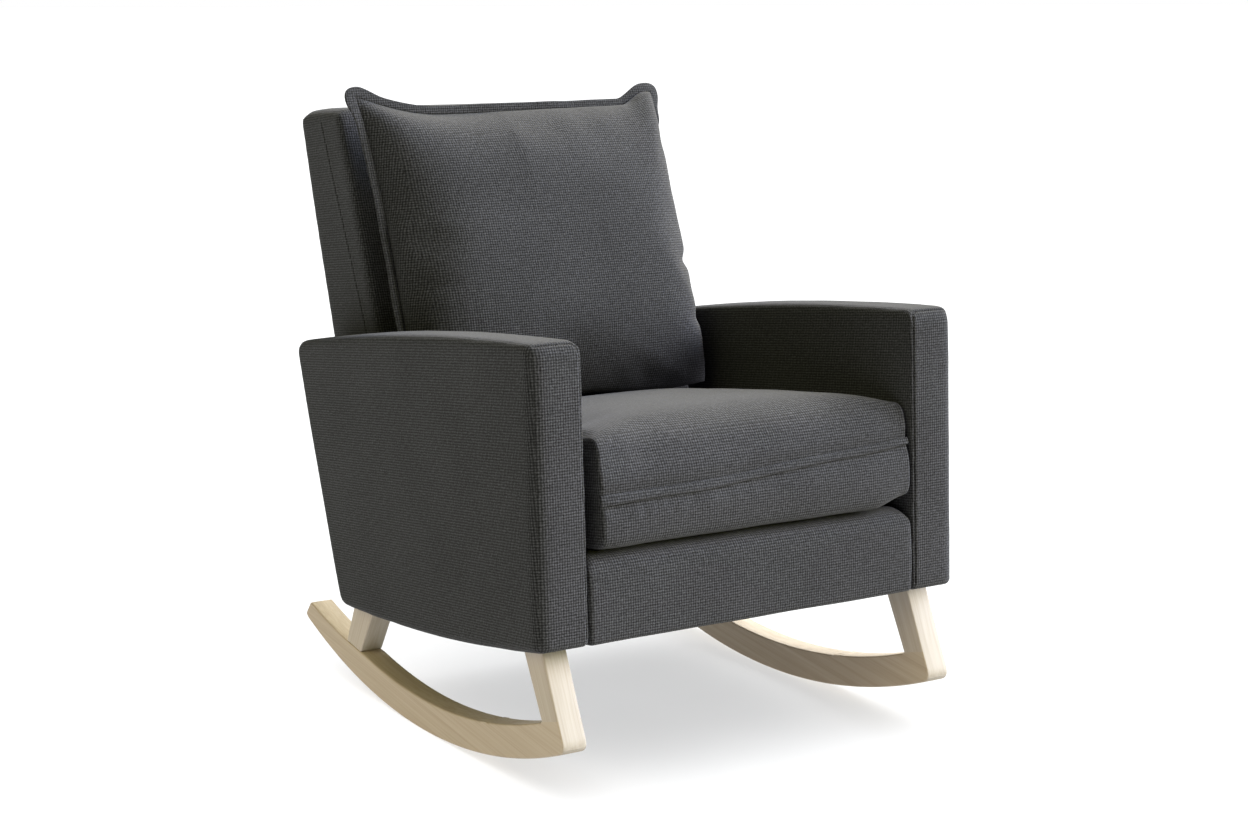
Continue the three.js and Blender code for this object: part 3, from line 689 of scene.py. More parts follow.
def seat_deck(cloth):
    """The platform cloth over the springs: a thin pad whose springs just show as low ridges."""
    low, high = DECK_LOW, DECK_HIGH
    corners = [
        (low[1], low[2], 0.003),
        (high[1], low[2], 0.003),
        (high[1], high[2], 0.004),
        (low[1], high[2], 0.004),
    ]
    outline, normals = rounded_outline(corners, None, 0.012)
    radius = np.full(len(outline), 0.004)
    points, faces = softened_prism(outline, normals, low[0], high[0], radius, radius, 0.010, 3)
    on_top = points[:, 2] > high[2] - 0.002
    ridges = 0.5 + 0.5 * np.cos(points[:, 0] * 2 * math.pi / 0.104)
    points[:, 2] -= on_top * 0.003 * (1 - ridges)
    deck = new_object("seat_platform", points, faces)
    dress(deck, "chair", "black_cloth", cloth, "seat_deck")


def dust_cover(cloth):
    """Thin cloth stapled under the seat, sagging a little between its edges."""
    low, high = DUST_LOW, DUST_HIGH
    nx, ny = 60, 70
    u, v = np.meshgrid(np.linspace(-1, 1, nx), np.linspace(-1, 1, ny))
    centre, half = (low + high) / 2, (high - low) / 2
    sag = 0.004 * (1 - u ** 4) * (1 - v ** 4)
    x = centre[0] + u * half[0]
    y = centre[1] + v * half[1]
    points = np.column_stack([x.ravel(), y.ravel(), (high[2] - 0.0006 - sag).ravel()])
    cover = new_object("underside_dust_cover", points, ring_faces(ny, nx, closed=False))
    thick = cover.modifiers.new("thickness", "SOLIDIFY")
    thick.thickness = 0.0006
    bake_modifiers(cover)
    dress(cover, "chair", "black_cloth", cloth, "dust_cover")


def bake_modifiers(obj):
    """Replaces an object's mesh by what its modifiers make of it."""
    bpy.context.view_layer.update()
    graph = bpy.context.evaluated_depsgraph_get()
    made = bpy.data.meshes.new_from_object(obj.evaluated_get(graph))
    obj.modifiers.clear()
    obj.data = made
    made.name = obj.name
    made.shade_smooth()


# ---- Back ----
BACK_FRONT_Y, BACK_LEAN = 0.093, 0.24
BACK_REAR_Y, BACK_REAR_LEAN = 0.287, 0.188


def back_front_y(z):
    return BACK_FRONT_Y + BACK_LEAN * z


def back_cover(fabric, thread):
    """The high back: one padded slab with a seam down each side."""
    top = BACK_HIGH[2]
    corners = [
        (back_front_y(0), 0, 0.010),
        (BACK_REAR_Y, 0, 0.012),
        (BACK_REAR_Y + BACK_REAR_LEAN * top, top, 0.018),
        (back_front_y(top - 0.008), top - 0.008, 0.016),
    ]
    outline, normals = rounded_outline(corners, [0, 0.003, 0.002, 0.004], 0.005)
    upper = smoothstep((normals[:, 1] - 0.3) / 0.6)
    radius = 0.010 + 0.014 * upper
    points, faces = softened_prism(outline, normals, BACK_LOW[0], BACK_HIGH[0], radius, radius, 0.010, 4)
    back = new_object("back_cover", points, faces, voxel=0.0065, smoothing=3)
    unevenness(back, 0.0012, 0.16, 5.0)
    for side, sign in SIDES.items():
        z = np.linspace(0.03, top - 0.016, 200)
        y = ARM_REAR_Y + 0.334 * (z - 0.433)
        seam = to_row(np.column_stack([np.full(200, sign * BACK_HIGH[0]), y, z]))
        press_seam(back, seam, 0.0020, 0.0032, 0.0004)
        stitches(f"{side}_back_stitching", laid_on(back, seam, -0.0003), "chair", thread)
    dress(back, "chair", "charcoal_fabric", fabric, "back_upholstery")


# ---- Cloth simulation ----
CLOTH_FRAMES = 20


def inflate(obj, pinned, pressure, grow, cap):
    """Blows a closed cover up as cloth, holds the pinned points, and keeps every move under cap."""
    scene = bpy.context.scene
    start = vertex_array(obj)
    group = obj.vertex_groups.new(name="sewn")
    group.add([int(i) for i in np.flatnonzero(pinned)], 1.0, "REPLACE")
    cloth = obj.modifiers.new("cloth", "CLOTH")
    settings = cloth.settings
    settings.quality = 6
    settings.mass = 0.4
    settings.air_damping = 4
    settings.tension_stiffness = 20
    settings.compression_stiffness = 12
    settings.shear_stiffness = 8
    settings.bending_stiffness = 1.2
    settings.vertex_group_mass = "sewn"
    settings.pin_stiffness = 1.0
    settings.use_pressure = True
    settings.uniform_pressure_force = pressure
    settings.shrink_min = -grow
    settings.effector_weights.gravity = 0
    cloth.collision_settings.use_collision = False
    cloth.point_cache.frame_start = 1
    cloth.point_cache.frame_end = CLOTH_FRAMES
    for number in range(1, CLOTH_FRAMES + 1):
        scene.frame_set(number)
    bake_modifiers(obj)
    scene.frame_set(1)
    moved = evened(obj, vertex_array(obj) - start, pinned)
    length = np.linalg.norm(moved, axis=1)
    allowed = cap * np.tanh(length / cap)
    moved *= (allowed / np.maximum(length, 1e-9))[:, None]
    write_vertices(obj, start + moved)
    obj.vertex_groups.clear()


def evened(obj, values, fixed, rounds=14):
    """Spreads each point's value over its neighbours, so that only broad shapes are left."""
    edges = np.array([edge.vertices[:] for edge in obj.data.edges])
    neighbours = np.bincount(edges.ravel(), minlength=len(values))[:, None]
    free = ~fixed[:, None]
    for _ in range(rounds):
        total = np.zeros_like(values)
        np.add.at(total, edges[:, 0], values[edges[:, 1]])
        np.add.at(total, edges[:, 1], values[edges[:, 0]])
        values = values + 0.5 * free * (total / neighbours - values)
    return values


def subdivided(obj, levels=1):
    """One round of subdivision, kept in the mesh."""
    modifier = obj.modifiers.new("subdivision", "SUBSURF")
    modifier.levels = levels
    modifier.render_levels = levels
    bake_modifiers(obj)


# ---- Seat cushion ----
SEAT_HALF_WIDTH = 0.2815
SEAT_FRONT_Y = arm_front_y(0.13) - 0.003
SEAT_EDGE = 0.006  # radius of the edges where the side panels are sewn in
FLANGE_LEFT_Z, FLANGE_RIGHT_Z = 0.199, 0.2285  # the folded flange climbs from left to right


def seat_flange_z(x):
    share = np.clip((np.asarray(x) + SEAT_HALF_WIDTH) / (2 * SEAT_HALF_WIDTH), 0, 1)
    climb = FLANGE_LEFT_Z + (FLANGE_RIGHT_Z - FLANGE_LEFT_Z) * share ** 1.5
    return climb + 0.0022 * np.sin(share * 11.0 + 0.6) * share * (1 - share) * 3


def seat_profile(x):
    """The closed (y, z) outline of the seat cushion at one distance from its middle."""
    ends = abs(x) / SEAT_HALF_WIDTH
    corner_lift = 0.015 * smoothstep((x - 0.215) / 0.066) + 0.001 * smoothstep((-x - 0.24) / 0.04)
    bottom = SEAT_LOW[2] + 0.0008 + corner_lift
    top = SEAT_HIGH[2] - 0.0035 - 0.012 * ends ** 5
    corners = [
        (SEAT_FRONT_Y - 0.003, bottom, 0.020),
        (SEAT_HIGH[1] - 0.004, SEAT_LOW[2] + 0.001, 0.020),
        (SEAT_HIGH[1] - 0.002, top - 0.006, 0.030),
        (SEAT_FRONT_Y + 0.003, top, 0.048 - 0.026 * ends ** 3),
    ]
    bows = [0.001, 0.004, 0.0085 * (1 - ends ** 3), 0.0065 - 0.003 * ends ** 2]
    return rounded_outline(corners, bows, 0.002)


def side_panel(edge, sign):
    """Rings that shrink from a cushion's end to its middle, over a slightly domed side panel."""
    middle = edge.mean(0)
    rings = []
    for share in 1 - np.arange(1, 16) / 16:
        ring = middle + (edge - middle) * share
        ring[:, 0] = edge[0, 0] + sign * 0.0015 * (1 - share ** 4)
        rings.append(ring)
    return rings


def seat_cushion(fabric):
    """Box cushion: a top panel that rolls over the front down to a folded flange."""
    count = 190
    reach = 0.86 * math.pi / 2
    span = np.sin(np.linspace(-reach, reach, 97)) / math.sin(reach)
    rings = []
    for x in span * SEAT_HALF_WIDTH:
        outline, normals = seat_profile(x)
        picked = np.linspace(0, len(outline), count + 1)[:-1].astype(int)
        edge = np.clip((abs(x) - SEAT_HALF_WIDTH + SEAT_EDGE) / SEAT_EDGE, 0, 1)
        inset = SEAT_EDGE * (1 - math.sqrt(1 - edge ** 2))
        outline = (outline - normals * inset)[picked]
        rings.append(np.column_stack([np.full(count, x), outline]))
    rings = side_panel(rings[0], -1)[::-1] + rings + side_panel(rings[-1], 1)
    points = np.vstack(rings)
    faces = tube_faces(len(rings), count)
    x, y, z = points.T
    front = smoothstep((-y - 0.36) / 0.05)
    pull = np.exp(-(((z - seat_flange_z(x)) / 0.016) ** 2)) * front
    below = seat_flange_z(x) - 0.018 - z
    gathers = np.exp(-((below / 0.014) ** 2)) * np.sin(x * 170 + 2.5 * np.sin(x * 37)) * front
    points[:, 1] += 0.0065 * pull + 0.0009 * gathers * smoothstep((0.10 - x) / 0.15)
    tucked = smoothstep((-x - 0.15) / 0.13) * smoothstep((-y - 0.29) / 0.13)
    points[:, 0] += 0.019 * tucked
    points[:, 1] -= 0.004 * tucked
    cushion = new_object("seat_cushion_cover", points, faces)
    pinned = (np.abs(x) > SEAT_HALF_WIDTH - 0.0015) | (z < SEAT_LOW[2] + 0.002) | (pull > 0.93)
    inflate(cushion, pinned, pressure=3.0, grow=0.0, cap=0.012)
    keep_seat_clear(cushion)
    unevenness(cushion, 0.0012, 0.09, 8.0)
    subdivided(cushion)
    dress(cushion, "seat_cushion", "charcoal_fabric", fabric, "seat_cushion")
    return cushion


def keep_seat_clear(obj):
    """Keeps the cushion between the arms, on the deck and in front of the back."""
    points = turned(vertex_array(obj), RECLINE) - BODY_ORIGIN
    points[:, 0] = np.clip(points[:, 0], -CUSHION_LIMIT_X, CUSHION_LIMIT_X)
    points[:, 2] = np.maximum(points[:, 2], SEAT_LOW[2] - 0.0012)
    points[:, 1] = np.minimum(points[:, 1], back_front_y(points[:, 2]) - 0.001)
    write_vertices(obj, to_row(points))


def strip(spine, section, outward, facing, width, thickness):
    """Points of a strip of cloth sewn along a spine, with a section in widths and thicknesses."""
    rows = [spine + outward * (out * width)[:, None] + facing * (face * thickness)
            for out, face in section]
    return np.stack(rows, 1).reshape(-1, 3)


def seat_front_flange(cushion, fabric):
    """The flange across the cushion's front, folded down over its own seam."""
    x = np.linspace(-SEAT_HALF_WIDTH + 0.0185, SEAT_HALF_WIDTH + 0.0005, 160)
    share = (x + SEAT_HALF_WIDTH) / (2 * SEAT_HALF_WIDTH)
    width = 0.0150 - 0.0035 * share + 0.0008 * np.sin(share * 23)
    z = seat_flange_z(x) + width / 2
    tree = surface_finder(cushion)
    spine = []
    for xi, zi in zip(x, z):
        origin = to_row([[np.clip(xi, -0.261, 0.278), -0.6, zi]])[0]
        direction = to_row([[0, 1, 0]])[0] - to_row([[0, 0, 0]])[0]
        hit = tree.ray_cast(Vector(origin), Vector(direction))[0]
        flat = turned([hit], RECLINE)[0] - BODY_ORIGIN
        spine.append((xi, flat[1] - 0.0005, zi))
    spine = smoothed(np.array(spine), 6)
    outward = np.tile(np.array([0, -0.16, -0.987]), (len(x), 1))
    facing = np.array([0, -0.987, 0.16])
    section = [(0.0, -0.5), (0.45, -0.52), (0.85, -0.8), (1.0, -0.3), (1.03, 0.0),
               (1.0, 0.3), (0.85, 0.8), (0.45, 0.52), (0.0, 0.5)]
    points = strip(spine, section, outward, facing, width, 0.0044)
    flange = new_object("seat_cushion_flange", points, tube_faces(len(spine), len(section)))
    subdivided(flange)
    dress(flange, "seat_cushion", "charcoal_fabric", fabric)


def smoothed(path, rounds):
    path = path.copy()
    for _ in range(rounds):
        path[1:-1] = (path[:-2] + 2 * path[1:-1] + path[2:]) / 4
    return path


# ---- Back pillow ----
PILLOW_PLANE_Y, PILLOW_PLANE_Z, PILLOW_PLANE_LEAN = 0.128, 0.438, 0.245
PILLOW_LEAN = math.atan(PILLOW_PLANE_LEAN)
PILLOW_FRONT, PILLOW_REAR = 0.086, 0.064
PILLOW_BOTTOM = PILLOW_LOW[2] + 0.004
PILLOW_TOP = 0.777
FLANGE_WIDTH = 0.013
NOTCH_Z = 0.518  # the crease pinched into the pillow's right edge


def pillow_side_x(z):
    """Half the seam's width at a height: nearly straight, flaring into the top corners."""
    share = np.clip((z - PILLOW_BOTTOM) / (0.805 - PILLOW_BOTTOM), 0, 1)
    return 0.266 + 0.014 * share ** 7 + 0.004 * (1 - share) ** 3


def pillow_top_z(x):
    """The seam along the top: level in the middle and rising to pointed corners."""
    left = 0.033 * np.clip((-x - 0.14) / 0.135, 0, 1) ** 1.7
    right = 0.022 * smoothstep((x - 0.205) / 0.055)
    return PILLOW_TOP + 0.004 * x / 0.27 + left + right


def pillow_outline_grid(across=112, up=100):
    """A grid of seam-plane points (x, z) inside the pillow's outline, by blending its four edges."""
    u = 0.5 - 0.5 * np.cos(np.linspace(0, math.pi, across) * 0.86 + 0.07 * math.pi)
    u = (u - u[0]) / (u[-1] - u[0])
    v = 0.5 - 0.5 * np.cos(np.linspace(0, math.pi, up) * 0.86 + 0.07 * math.pi)
    v = (v - v[0]) / (v[-1] - v[0])
    corner = pillow_top_z(np.array([-0.282, 0.274]))
    x_top = -0.282 + 0.556 * u
    z_top = pillow_top_z(x_top)
    x_bottom = -0.270 + 0.540 * u
    z_bottom = np.full(across, PILLOW_BOTTOM) + 0.006 * (np.abs(2 * u - 1)) ** 6
    z_side = PILLOW_BOTTOM + 0.006 + (corner[:, None] - PILLOW_BOTTOM - 0.006) * v
    x_left = -pillow_side_x(z_side[0]) - 0.002 * v ** 7
    x_right = pillow_side_x(z_side[1]) - 0.003 * v - 0.003 * v ** 7
    U, V = np.meshgrid(u, v)

    def blend(bottom, top, left, right):
        sides = (1 - U) * left[:, None] + U * right[:, None]
        ends = (1 - V) * bottom[None, :] + V * top[None, :]
        corners = ((1 - U) * (1 - V) * bottom[0] + U * (1 - V) * bottom[-1]
                   + (1 - U) * V * top[0] + U * V * top[-1])
        return sides + ends - corners

    x = blend(x_bottom, x_top, x_left, x_right)
    z = blend(z_bottom, z_top, z_side[0], z_side[1])
    return U, V, x, z


def pillow_point(x, z, depth):
    """A point on the pillow: depth in front of the leaning seam plane (negative behind it)."""
    y = PILLOW_PLANE_Y + PILLOW_PLANE_LEAN * (z - PILLOW_PLANE_Z)
    return np.stack([x, y - depth * math.cos(PILLOW_LEAN), z + depth * math.sin(PILLOW_LEAN)], -1)


def pillow(fabric):
    """Knife-edge pillow: two panels sewn round a flange, blown up as cloth."""
    U, V, x, z = pillow_outline_grid()
    up, across = x.shape
    share = 2 * U - 1
    swell = (1 - np.abs(share) ** np.where(share > 0, 9, 5)) * (1 - np.abs(2 * V - 1) ** 4)
    swell = np.clip(swell, 0, 1) ** 0.5
    fuller_low = 1 + 0.10 * (0.5 - V)
    front = pillow_point(x, z, PILLOW_FRONT * 0.90 * swell * fuller_low)
    rear = pillow_point(x, z, -PILLOW_REAR * 0.95 * swell)
    inside = np.zeros((up, across), bool)
    inside[1:-1, 1:-1] = True
    index = np.arange(up * across).reshape(up, across)
    rear_index = index.copy()
    rear_index[inside] = up * across + np.arange(inside.sum())
    points = np.vstack([front.reshape(-1, 3), rear[inside]])
    faces = []
    for grid, flip in ((index, False), (rear_index, True)):
        a, b, c, d = grid[:-1, :-1], grid[:-1, 1:], grid[1:, 1:], grid[1:, :-1]
        quads = np.stack([a, b, c, d], -1).reshape(-1, 4)
        faces += [tuple(q[::-1]) if flip else tuple(q) for q in quads.tolist()]
    cushion = new_object("back_cushion_cover", points, faces)
    edge = ~inside
    pinned = np.zeros(len(points), bool)
    pinned[:up * across] = edge.ravel()
    inflate(cushion, pinned, pressure=3.0, grow=0.008, cap=0.022)
    shape_pillow(cushion, pinned)
    subdivided(cushion)
    dress(cushion, "back_cushion", "charcoal_fabric", fabric, "back_cushion")
    loop = np.concatenate([index[0, :-1], index[:-1, -1], index[-1, :0:-1], index[:0:-1, 0]])
    return front.reshape(-1, 3)[loop]


def shape_pillow(obj, seam):
    """Creases and gathers, and the places where the pillow rests against the back, arms and seat."""
    points = turned(vertex_array(obj), RECLINE) - BODY_ORIGIN
    x, y, z = points.T
    taut = seam | (x > -0.04) | (z < 0.60)
    points = evened(obj, points, taut, 240)
    x, y, z = points.T
    plane_y = PILLOW_PLANE_Y + PILLOW_PLANE_LEAN * (z - PILLOW_PLANE_Z)
    in_front = smoothstep((plane_y - y) / 0.02)
    left = smoothstep((-x - 0.17) / 0.07)
    right = smoothstep((x - 0.20) / 0.06)
    fold_z = np.where(x < 0, 0.497 + 0.10 * (x + 0.27), 0.420)
    fold = np.exp(-(((z - fold_z) / 0.012) ** 2))
    gather = np.exp(-((z - PILLOW_BOTTOM) / 0.050)) * np.sin(x * 190 + 2.0 * np.sin(x * 31))
    ripple = np.exp(-(((x - 0.065) / 0.032) ** 2)) + 0.8 * np.exp(-(((x - 0.135) / 0.028) ** 2))
    ripple *= smoothstep((z - 0.70) / 0.07)
    notch = np.exp(-(((z - NOTCH_Z - 0.25 * (x - 0.27)) / 0.011) ** 2))
    points[:, 0] -= (0.0065 * notch + 0.0035 * fold * right) * right * in_front
    creases = fold * (0.0028 * left + 0.0040 * right) + 0.0030 * notch * right
    gathers = 0.0030 * gather * smoothstep((0.05 - x) / 0.2)
    push = (gathers + 0.004 * ripple - creases) * in_front
    points[:, 1] -= push * math.cos(PILLOW_LEAN)
    points[:, 2] += push * math.sin(PILLOW_LEAN)
    between_arms = np.clip(points[:, 0], -CUSHION_LIMIT_X, CUSHION_LIMIT_X)
    points[:, 0] = np.where(z < ARM_TOP_Z, between_arms, points[:, 0])
    points[:, 1] = np.minimum(points[:, 1], back_front_y(points[:, 2]) - 0.0012)
    sink = smoothstep((x - 0.02) / 0.12)
    points[:, 2] -= 0.009 * sink * np.exp(-np.maximum(points[:, 2] - PILLOW_BOTTOM, 0) / 0.05)
    points[:, 2] = np.maximum(points[:, 2], PILLOW_LOW[2] - 0.0010 - 0.0035 * sink)
    write_vertices(obj, to_row(points))


def pillow_flange(loop, fabric):
    """The flat flange outside the pillow's seam, with a soft wave and curled top corners."""
    count = len(loop)
    after = np.roll(loop, -3, 0) - np.roll(loop, 3, 0)
    after /= np.linalg.norm(after, axis=1)[:, None]
    facing = np.array([0, -math.cos(PILLOW_LEAN), math.sin(PILLOW_LEAN)])
    outward = np.cross(after, facing)
    for _ in range(6):
        outward = (np.roll(outward, 1, 0) + 2 * outward + np.roll(outward, -1, 0)) / 4
    outward /= np.linalg.norm(outward, axis=1)[:, None]
    x, z = loop[:, 0], loop[:, 2]
    corner = smoothstep((np.abs(x) - 0.235) / 0.04) * smoothstep((z - 0.77) / 0.03)
    wave = np.array([noise.noise(Vector((p[0] * 16, 0, p[2] * 16))) for p in loop])
    lift = 0.0035 * wave * (1 - corner) - 0.25 * corner * FLANGE_WIDTH * (x > 0)
    low = smoothstep((PILLOW_BOTTOM + 0.03 - z) / 0.02)
    outward = outward * (1 - low)[:, None] + np.outer(low, (0, 0.97, 0.1))
    outward = outward + np.outer(lift / FLANGE_WIDTH, facing)
    side = smoothstep((x - 0.20) / 0.05) * smoothstep((0.76 - z) / 0.03)
    width = FLANGE_WIDTH * (1 + 0.35 * corner - 0.55 * side)
    section = [(-0.10, -0.5), (0.35, -0.5), (0.85, -0.62), (1.0, -0.4), (1.04, 0.0),
               (1.0, 0.4), (0.85, 0.62), (0.35, 0.5), (-0.10, 0.5)]
    points = strip(loop, section, outward, facing, width, 0.0036)
    around = len(section)
    faces = ring_faces(count, around)
    last = (count - 1) * around
    faces += [(last + j, last + (j + 1) % around, (j + 1) % around, j) for j in range(around)]
    between_arms = np.clip(points[:, 0], -CUSHION_LIMIT_X, CUSHION_LIMIT_X)
    points[:, 0] = np.where(points[:, 2] < ARM_TOP_Z, between_arms, points[:, 0])
    flange = new_object("back_cushion_flange", points, faces)
    subdivided(flange)
    dress(flange, "back_cushion", "charcoal_fabric", fabric)


# ---- Runners and legs ----
EASE = 0.0025
CONTACT_Y = frame["record"]["mounts"][0]["pos_m"][1]
ROCKER_RADIUS = 1.1428
RUNNER_DEPTH = 0.049
FOOT_JOINT_Z = 0.114
FOOT_JOINT_RISE = 0.012
FRONT_LEG = {"front_y": -0.4186, "front_slope": 0.4586, "rear_y": -0.3694, "rear_slope": 0.5394}


def arc_z(y):
    return ROCKER_RADIUS - math.sqrt(ROCKER_RADIUS ** 2 - y ** 2)


def foot_joint():
    """The two ends, rear and front, of the glue line between a runner and its front leg."""
    rear = (FRONT_LEG["rear_y"] + CONTACT_Y, FOOT_JOINT_Z)
    front_y = FRONT_LEG["front_y"] + FRONT_LEG["front_slope"] * FOOT_JOINT_RISE
    return [rear, (front_y + CONTACT_Y, FOOT_JOINT_Z + FOOT_JOINT_RISE)]


def glued(edge):
    """Whether an edge of a board lies on the glue line."""
    rear, front = np.array(foot_joint())
    line = (front - rear) / np.linalg.norm(front - rear)
    offsets = [np.array(vert.co[1:]) - rear for vert in edge.verts]
    return all(abs(line[0] * offset[1] - line[1] * offset[0]) < 0.001 for offset in offsets)


def turns_sharply(edge):
    return edge.calc_face_angle(0) > 0.35


def board(name, outline, x_low, x_high):
    """A flat board with eased edges, from a closed anticlockwise (y, z) outline in the row frame.
    Its edges stay sharp where two boards are glued together."""
    points = [(x, y, z) for x in (x_low, x_high) for y, z in outline]
    obj = new_object(name, points, tube_faces(2, len(outline)), upright=False)
    bm = bmesh.new()
    bm.from_mesh(obj.data)
    sharp = [edge for edge in bm.edges if turns_sharply(edge) and not glued(edge)]
    bmesh.ops.bevel(bm, geom=sharp, offset=EASE, segments=4, profile=0.5, affect="EDGES")
    broad = [face for face in bm.faces if abs(face.normal.x) > 0.99 and face.calc_area() > 0.001]
    bmesh.ops.inset_individual(bm, faces=broad, thickness=0.0004)
    for face in bm.faces:
        face.smooth = True
    for edge in bm.edges:
        edge.smooth = not (turns_sharply(edge) and glued(edge))
    bm.to_mesh(obj.data)
    bm.free()
    return obj


def dense(points, spacing=0.004):
    """Fills the straight stretches of an outline with evenly spaced points."""
    closed = np.vstack([points, points[:1]])
    out = []
    for a, b in zip(closed[:-1], closed[1:]):
        steps = max(1, int(np.linalg.norm(b - a) / spacing))
        out += [a + (b - a) * k / steps for k in range(steps)]
    return np.array(out)


def rounded(corners, steps=5):
    """Rounds the corners (y, z, radius) of a closed outline with straight edges."""
    out = []
    count = len(corners)
    for i, (y, z, radius) in enumerate(corners):
        here = np.array([y, z])
        a = np.array(corners[i - 1][:2]) - here
        b = np.array(corners[(i + 1) % count][:2]) - here
        if radius == 0:
            out.append(here)
            continue
        a /= np.linalg.norm(a)
        b /= np.linalg.norm(b)
        for k in range(steps + 1):
            t = k / steps
            out.append(here + a * radius * (1 - t) ** 2 + b * radius * t ** 2)
    return np.array(out)


def runner_outline():
    """The rocker: an arc on the floor, an inner arc above it, and a raked tail."""
    toe_y = FRONT_LEG["front_y"] + FRONT_LEG["front_slope"] * (arc_z(0.43) - FOOT_JOINT_Z)
    tail_y = 0.424
    bottom = [(y, arc_z(y)) for y in np.linspace(toe_y + 0.016, tail_y - 0.009, 90)]

    def top_z(y):
        depth = RUNNER_DEPTH - 0.078 * max(0, y - 0.2)
        return arc_z(y) + depth / math.cos(math.asin(y / ROCKER_RADIUS))

    top = [(y, top_z(y)) for y in np.linspace(tail_y - 0.032, FRONT_LEG["rear_y"], 90)]
    tail_z = arc_z(tail_y)
    toe = rounded([(toe_y + 0.008, arc_z(toe_y) + 0.018, 0), (toe_y, arc_z(toe_y), 0.016),
                   (toe_y + 0.016, arc_z(toe_y + 0.016), 0)])
    tail = [(tail_y - 0.001, tail_z + 0.002), (tail_y - 0.002, tail_z + 0.006),
            (tail_y - 0.005, tail_z + 0.010), (tail_y - 0.017, tail_z + 0.024),
            (tail_y - 0.021, tail_z + 0.027)]
    points = [toe[1], *toe[2:-1], *bottom, *tail, *top]
    outline = [(y + CONTACT_Y, z) for y, z in points]
    return dense(np.array(outline + foot_joint()))


def node_outline(node):
    """The side view outline of a leg's CAD solid, as the convex hull of its points."""
    points = node_points(node)[:, 1:]
    return corners_only(points[convex_hull_2d(points.tolist())])


def front_leg_outline(side):
    """The CAD leg's side view, with its foot exactly on the glue line."""
    outline = node_outline(f"{side}_front_leg")
    for corner in outline[np.argsort(outline[:, 1])[:2]]:
        nearest = min(foot_joint(), key=lambda end: np.linalg.norm(corner - end))
        outline[np.all(outline == corner, axis=1)] = nearest
    return outline


def corners_only(outline, tolerance=0.0007):
    """Drops the points of a closed outline that lie on a nearly straight line."""
    kept = list(outline)
    while len(kept) > 4:
        gaps = []
        for i, here in enumerate(kept):
            before, after = kept[i - 1], kept[(i + 1) % len(kept)]
            line = (after - before) / np.linalg.norm(after - before)
            offset = here - before
            gaps.append(abs(line[0] * offset[1] - line[1] * offset[0]))
        if min(gaps) > tolerance:
            break
        kept.pop(int(np.argmin(gaps)))
    return np.array(kept)


def runners_and_legs():
    finishes = {
        "runner": runner_wood("pale_wood_runner", 0.12),
        "front_leg": leg_wood("pale_wood_front_leg", math.atan2(1, 0.5)),
        "rear_leg": leg_wood("pale_wood_rear_leg", math.atan2(1, -0.56)),
    }
    pieces = []
    for side in SIDES:
        low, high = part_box(f"{side}_runner")
        outlines = {
            "runner": runner_outline(),
            "front_leg": front_leg_outline(side),
            "rear_leg": node_outline(f"{side}_rear_leg"),
        }
        for part, outline in outlines.items():
            piece = board(f"{side}_{part}_wood", outline, low.x, high.x)
            dress(piece, "chair", "pale_wood", finishes[part], f"{side}_{part}")
            if part == "runner":
                face_with_leg_wood(piece, finishes["front_leg"])
            pieces.append(piece)
    return pieces


def face_with_leg_wood(runner, finish):
    """The runner's toe is faced with the same board as the leg above it."""
    runner.data.materials.append(finish)
    for face in runner.data.polygons:
        if face.normal.y < -0.75 and face.center.y < -0.4:
            face.material_index = 1


# ---- Carried-over CAD nodes ----
def finish_cad_nodes(materials):
    """The hidden frame keeps its CAD meshes, with the record's slot deciding the material."""
    for row in frame["record"]["subparts"]:
        material = materials.get(row["material_slot"])
        node = frame["nodes"][row["node"]]
        if material and not node.hide_render:
            node.data.materials.clear()
            node.data.materials.append(material)


# ---- Stage and light ----
def sun(name, direction, spread, strength, shadow=True):
    """A broad soft light from far away. Strength is red, green, blue brightness on a white card."""
    data = bpy.data.lights.new(name, "SUN")
    data.energy = math.pi * max(strength)
    data.color = [channel / max(strength) for channel in strength]
    data.angle = math.radians(spread)
    data.use_shadow = shadow
    light = bpy.data.objects.new(name, data)
    light.rotation_euler = Vector(direction).to_track_quat("Z", "Y").to_euler()
    bpy.context.scene.collection.objects.link(light)
    return light


def light_only(light, objects, state="INCLUDE"):
    """Keeps a light's direct rays to these objects, or off them with the state EXCLUDE."""
    group = bpy.data.collections.new(f"{light.name}_objects")
    for obj in objects:
        group.objects.link(obj)
    light.light_linking.receiver_collection = group
    for item in group.collection_objects:
        item.light_linking.link_state = state


def passes(light, blocker):
    """Lets a light through one piece, as the far larger lamp of a real studio reaches round it."""
    group = bpy.data.collections.new(f"{light.name}_passes")
    group.objects.link(blocker)
    light.light_linking.blocker_collection = group
    group.collection_objects[0].light_linking.link_state = "EXCLUDE"


def studio_floor():
    bpy.ops.mesh.primitive_plane_add(size=400, location=(0, 0, 0))
    floor = bpy.context.object
    floor.name = "studio_floor"
    n = Nodes("studio_floor")
    grain = n.noise(n.place(), 3, 2.0)
    color = n.ramp(grain, (0.3, (0.84, 0.845, 0.85)), (0.7, (0.86, 0.865, 0.87)))
    floor.data.materials.append(n.finish(color, 0.9, Specular_IOR_Level=0.1))
    return floor


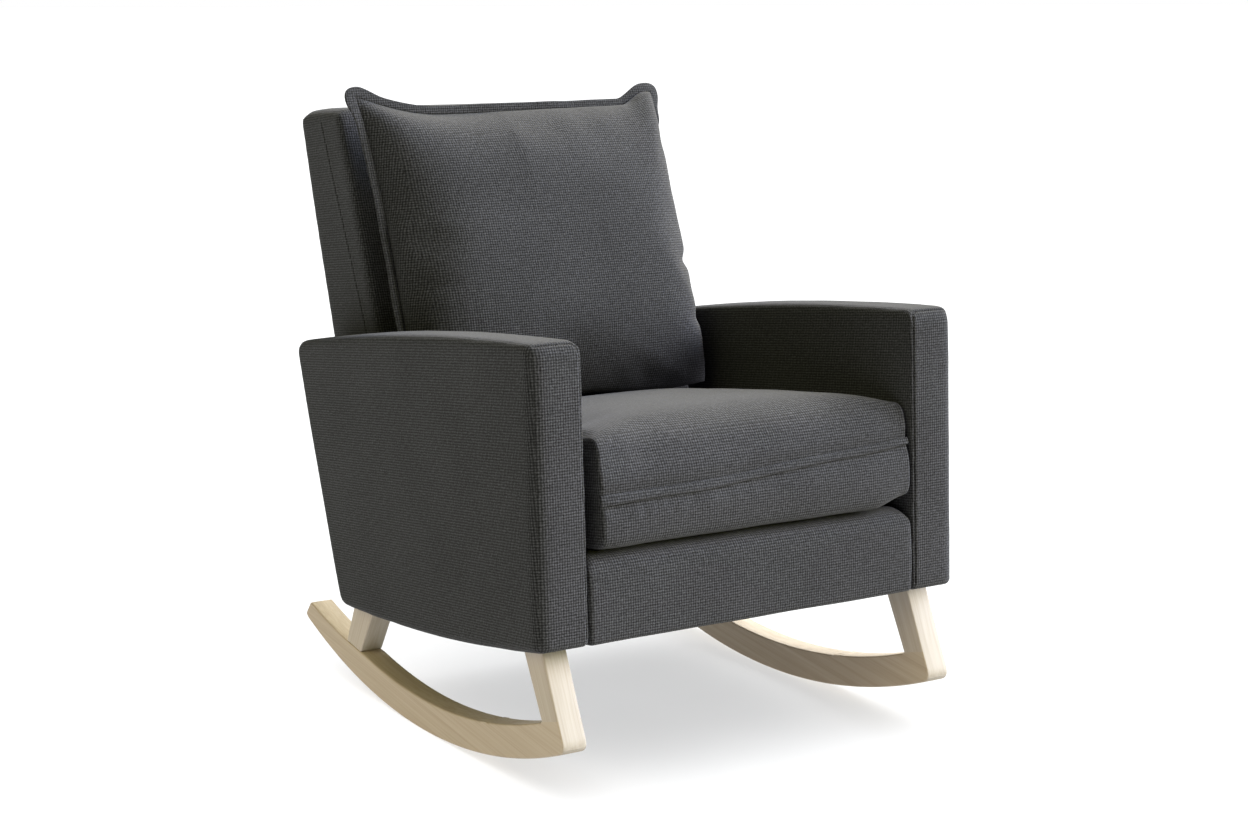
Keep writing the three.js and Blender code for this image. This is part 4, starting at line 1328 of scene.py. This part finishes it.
def studio_world():
    """White to the camera, and only a faint fill on the chair."""
    world = bpy.data.worlds.new("studio")
    bpy.context.scene.world = world
    world.use_nodes = True
    nodes, links = world.node_tree.nodes, world.node_tree.links
    path = nodes.new("ShaderNodeLightPath")
    strength = nodes.new("ShaderNodeMix")
    strength.inputs["A"].default_value = 0.07
    strength.inputs["B"].default_value = 1.0
    links.new(path.outputs["Is Camera Ray"], strength.inputs["Factor"])
    links.new(strength.outputs["Result"], nodes["Background"].inputs["Strength"])
    nodes["Background"].inputs["Color"].default_value = (1.0, 1.0, 1.0, 1)


def lights(floor, boards, right_arm):
    """Soft light from the right and front, with its own even light on the floor."""
    light_only(sun("floor_fill", (0, 0, 1), 90, (1.02, 1.02, 1.02), shadow=False), [floor])
    light_only(sun("floor_top", (0, 0, 1), 110, (0.52, 0.52, 0.52)), [floor])
    for name, direction, spread, strength in (
        ("key", (0.70, -0.50, 0.50), 40, (1.05, 1.05, 1.17)),
        ("key_round", (0.70, -0.50, 0.50), 40, (1.05, 1.05, 1.17)),
        ("right", (0.70, -0.10, 0.70), 40, (0.50, 0.66, 1.00)),
        ("rear", (0.60, 0.40, 0.70), 40, (1.75, 1.62, 1.33)),
        ("low", (0.60, -0.75, 0.25), 40, (0.30, 0.30, 0.05)),
        ("left", (-0.70, 0.0, 0.70), 60, (0.25, 0.25, 0.13)),
        ("back", (0.0, 0.70, 0.70), 60, (0.15, 0.15, 0.14)),
    ):
        light = sun(name, direction, spread, strength)
        light_only(light, [floor], "EXCLUDE")
        if name == "key_round":
            passes(light, right_arm)
    light_only(sun("board_fill", (-0.90, -0.30, 0.30), 60, (0.58, 0.46, 0.32)), boards)


def colour_settings():
    view = bpy.context.scene.view_settings
    view.view_transform = "Standard"
    view.look = "None"


# ---- The scene ----
make_camera()
colour_settings()
fabric = charcoal_fabric()
cloth = black_cloth()
thread = thread_material()
arm_cover(fabric, thread)
front_rail_cover(fabric)
back_cover(fabric, thread)
seat_deck(cloth)
dust_cover(cloth)
seat = seat_cushion(fabric)
seat_front_flange(seat, fabric)
seam_loop = pillow(fabric)
pillow_flange(seam_loop, fabric)
floor = studio_floor()
studio_world()
lights(floor, runners_and_legs(), bpy.data.objects["right_arm_cover"])
finish_cad_nodes({
    "frame_wood": frame_wood(),
    "steel": metal("steel", (0.58, 0.59, 0.60), 0.35, 0.1),
    "spring_steel": metal("spring_steel", (0.30, 0.31, 0.33), 0.4, 1.0),
    "webbing": webbing(),
})
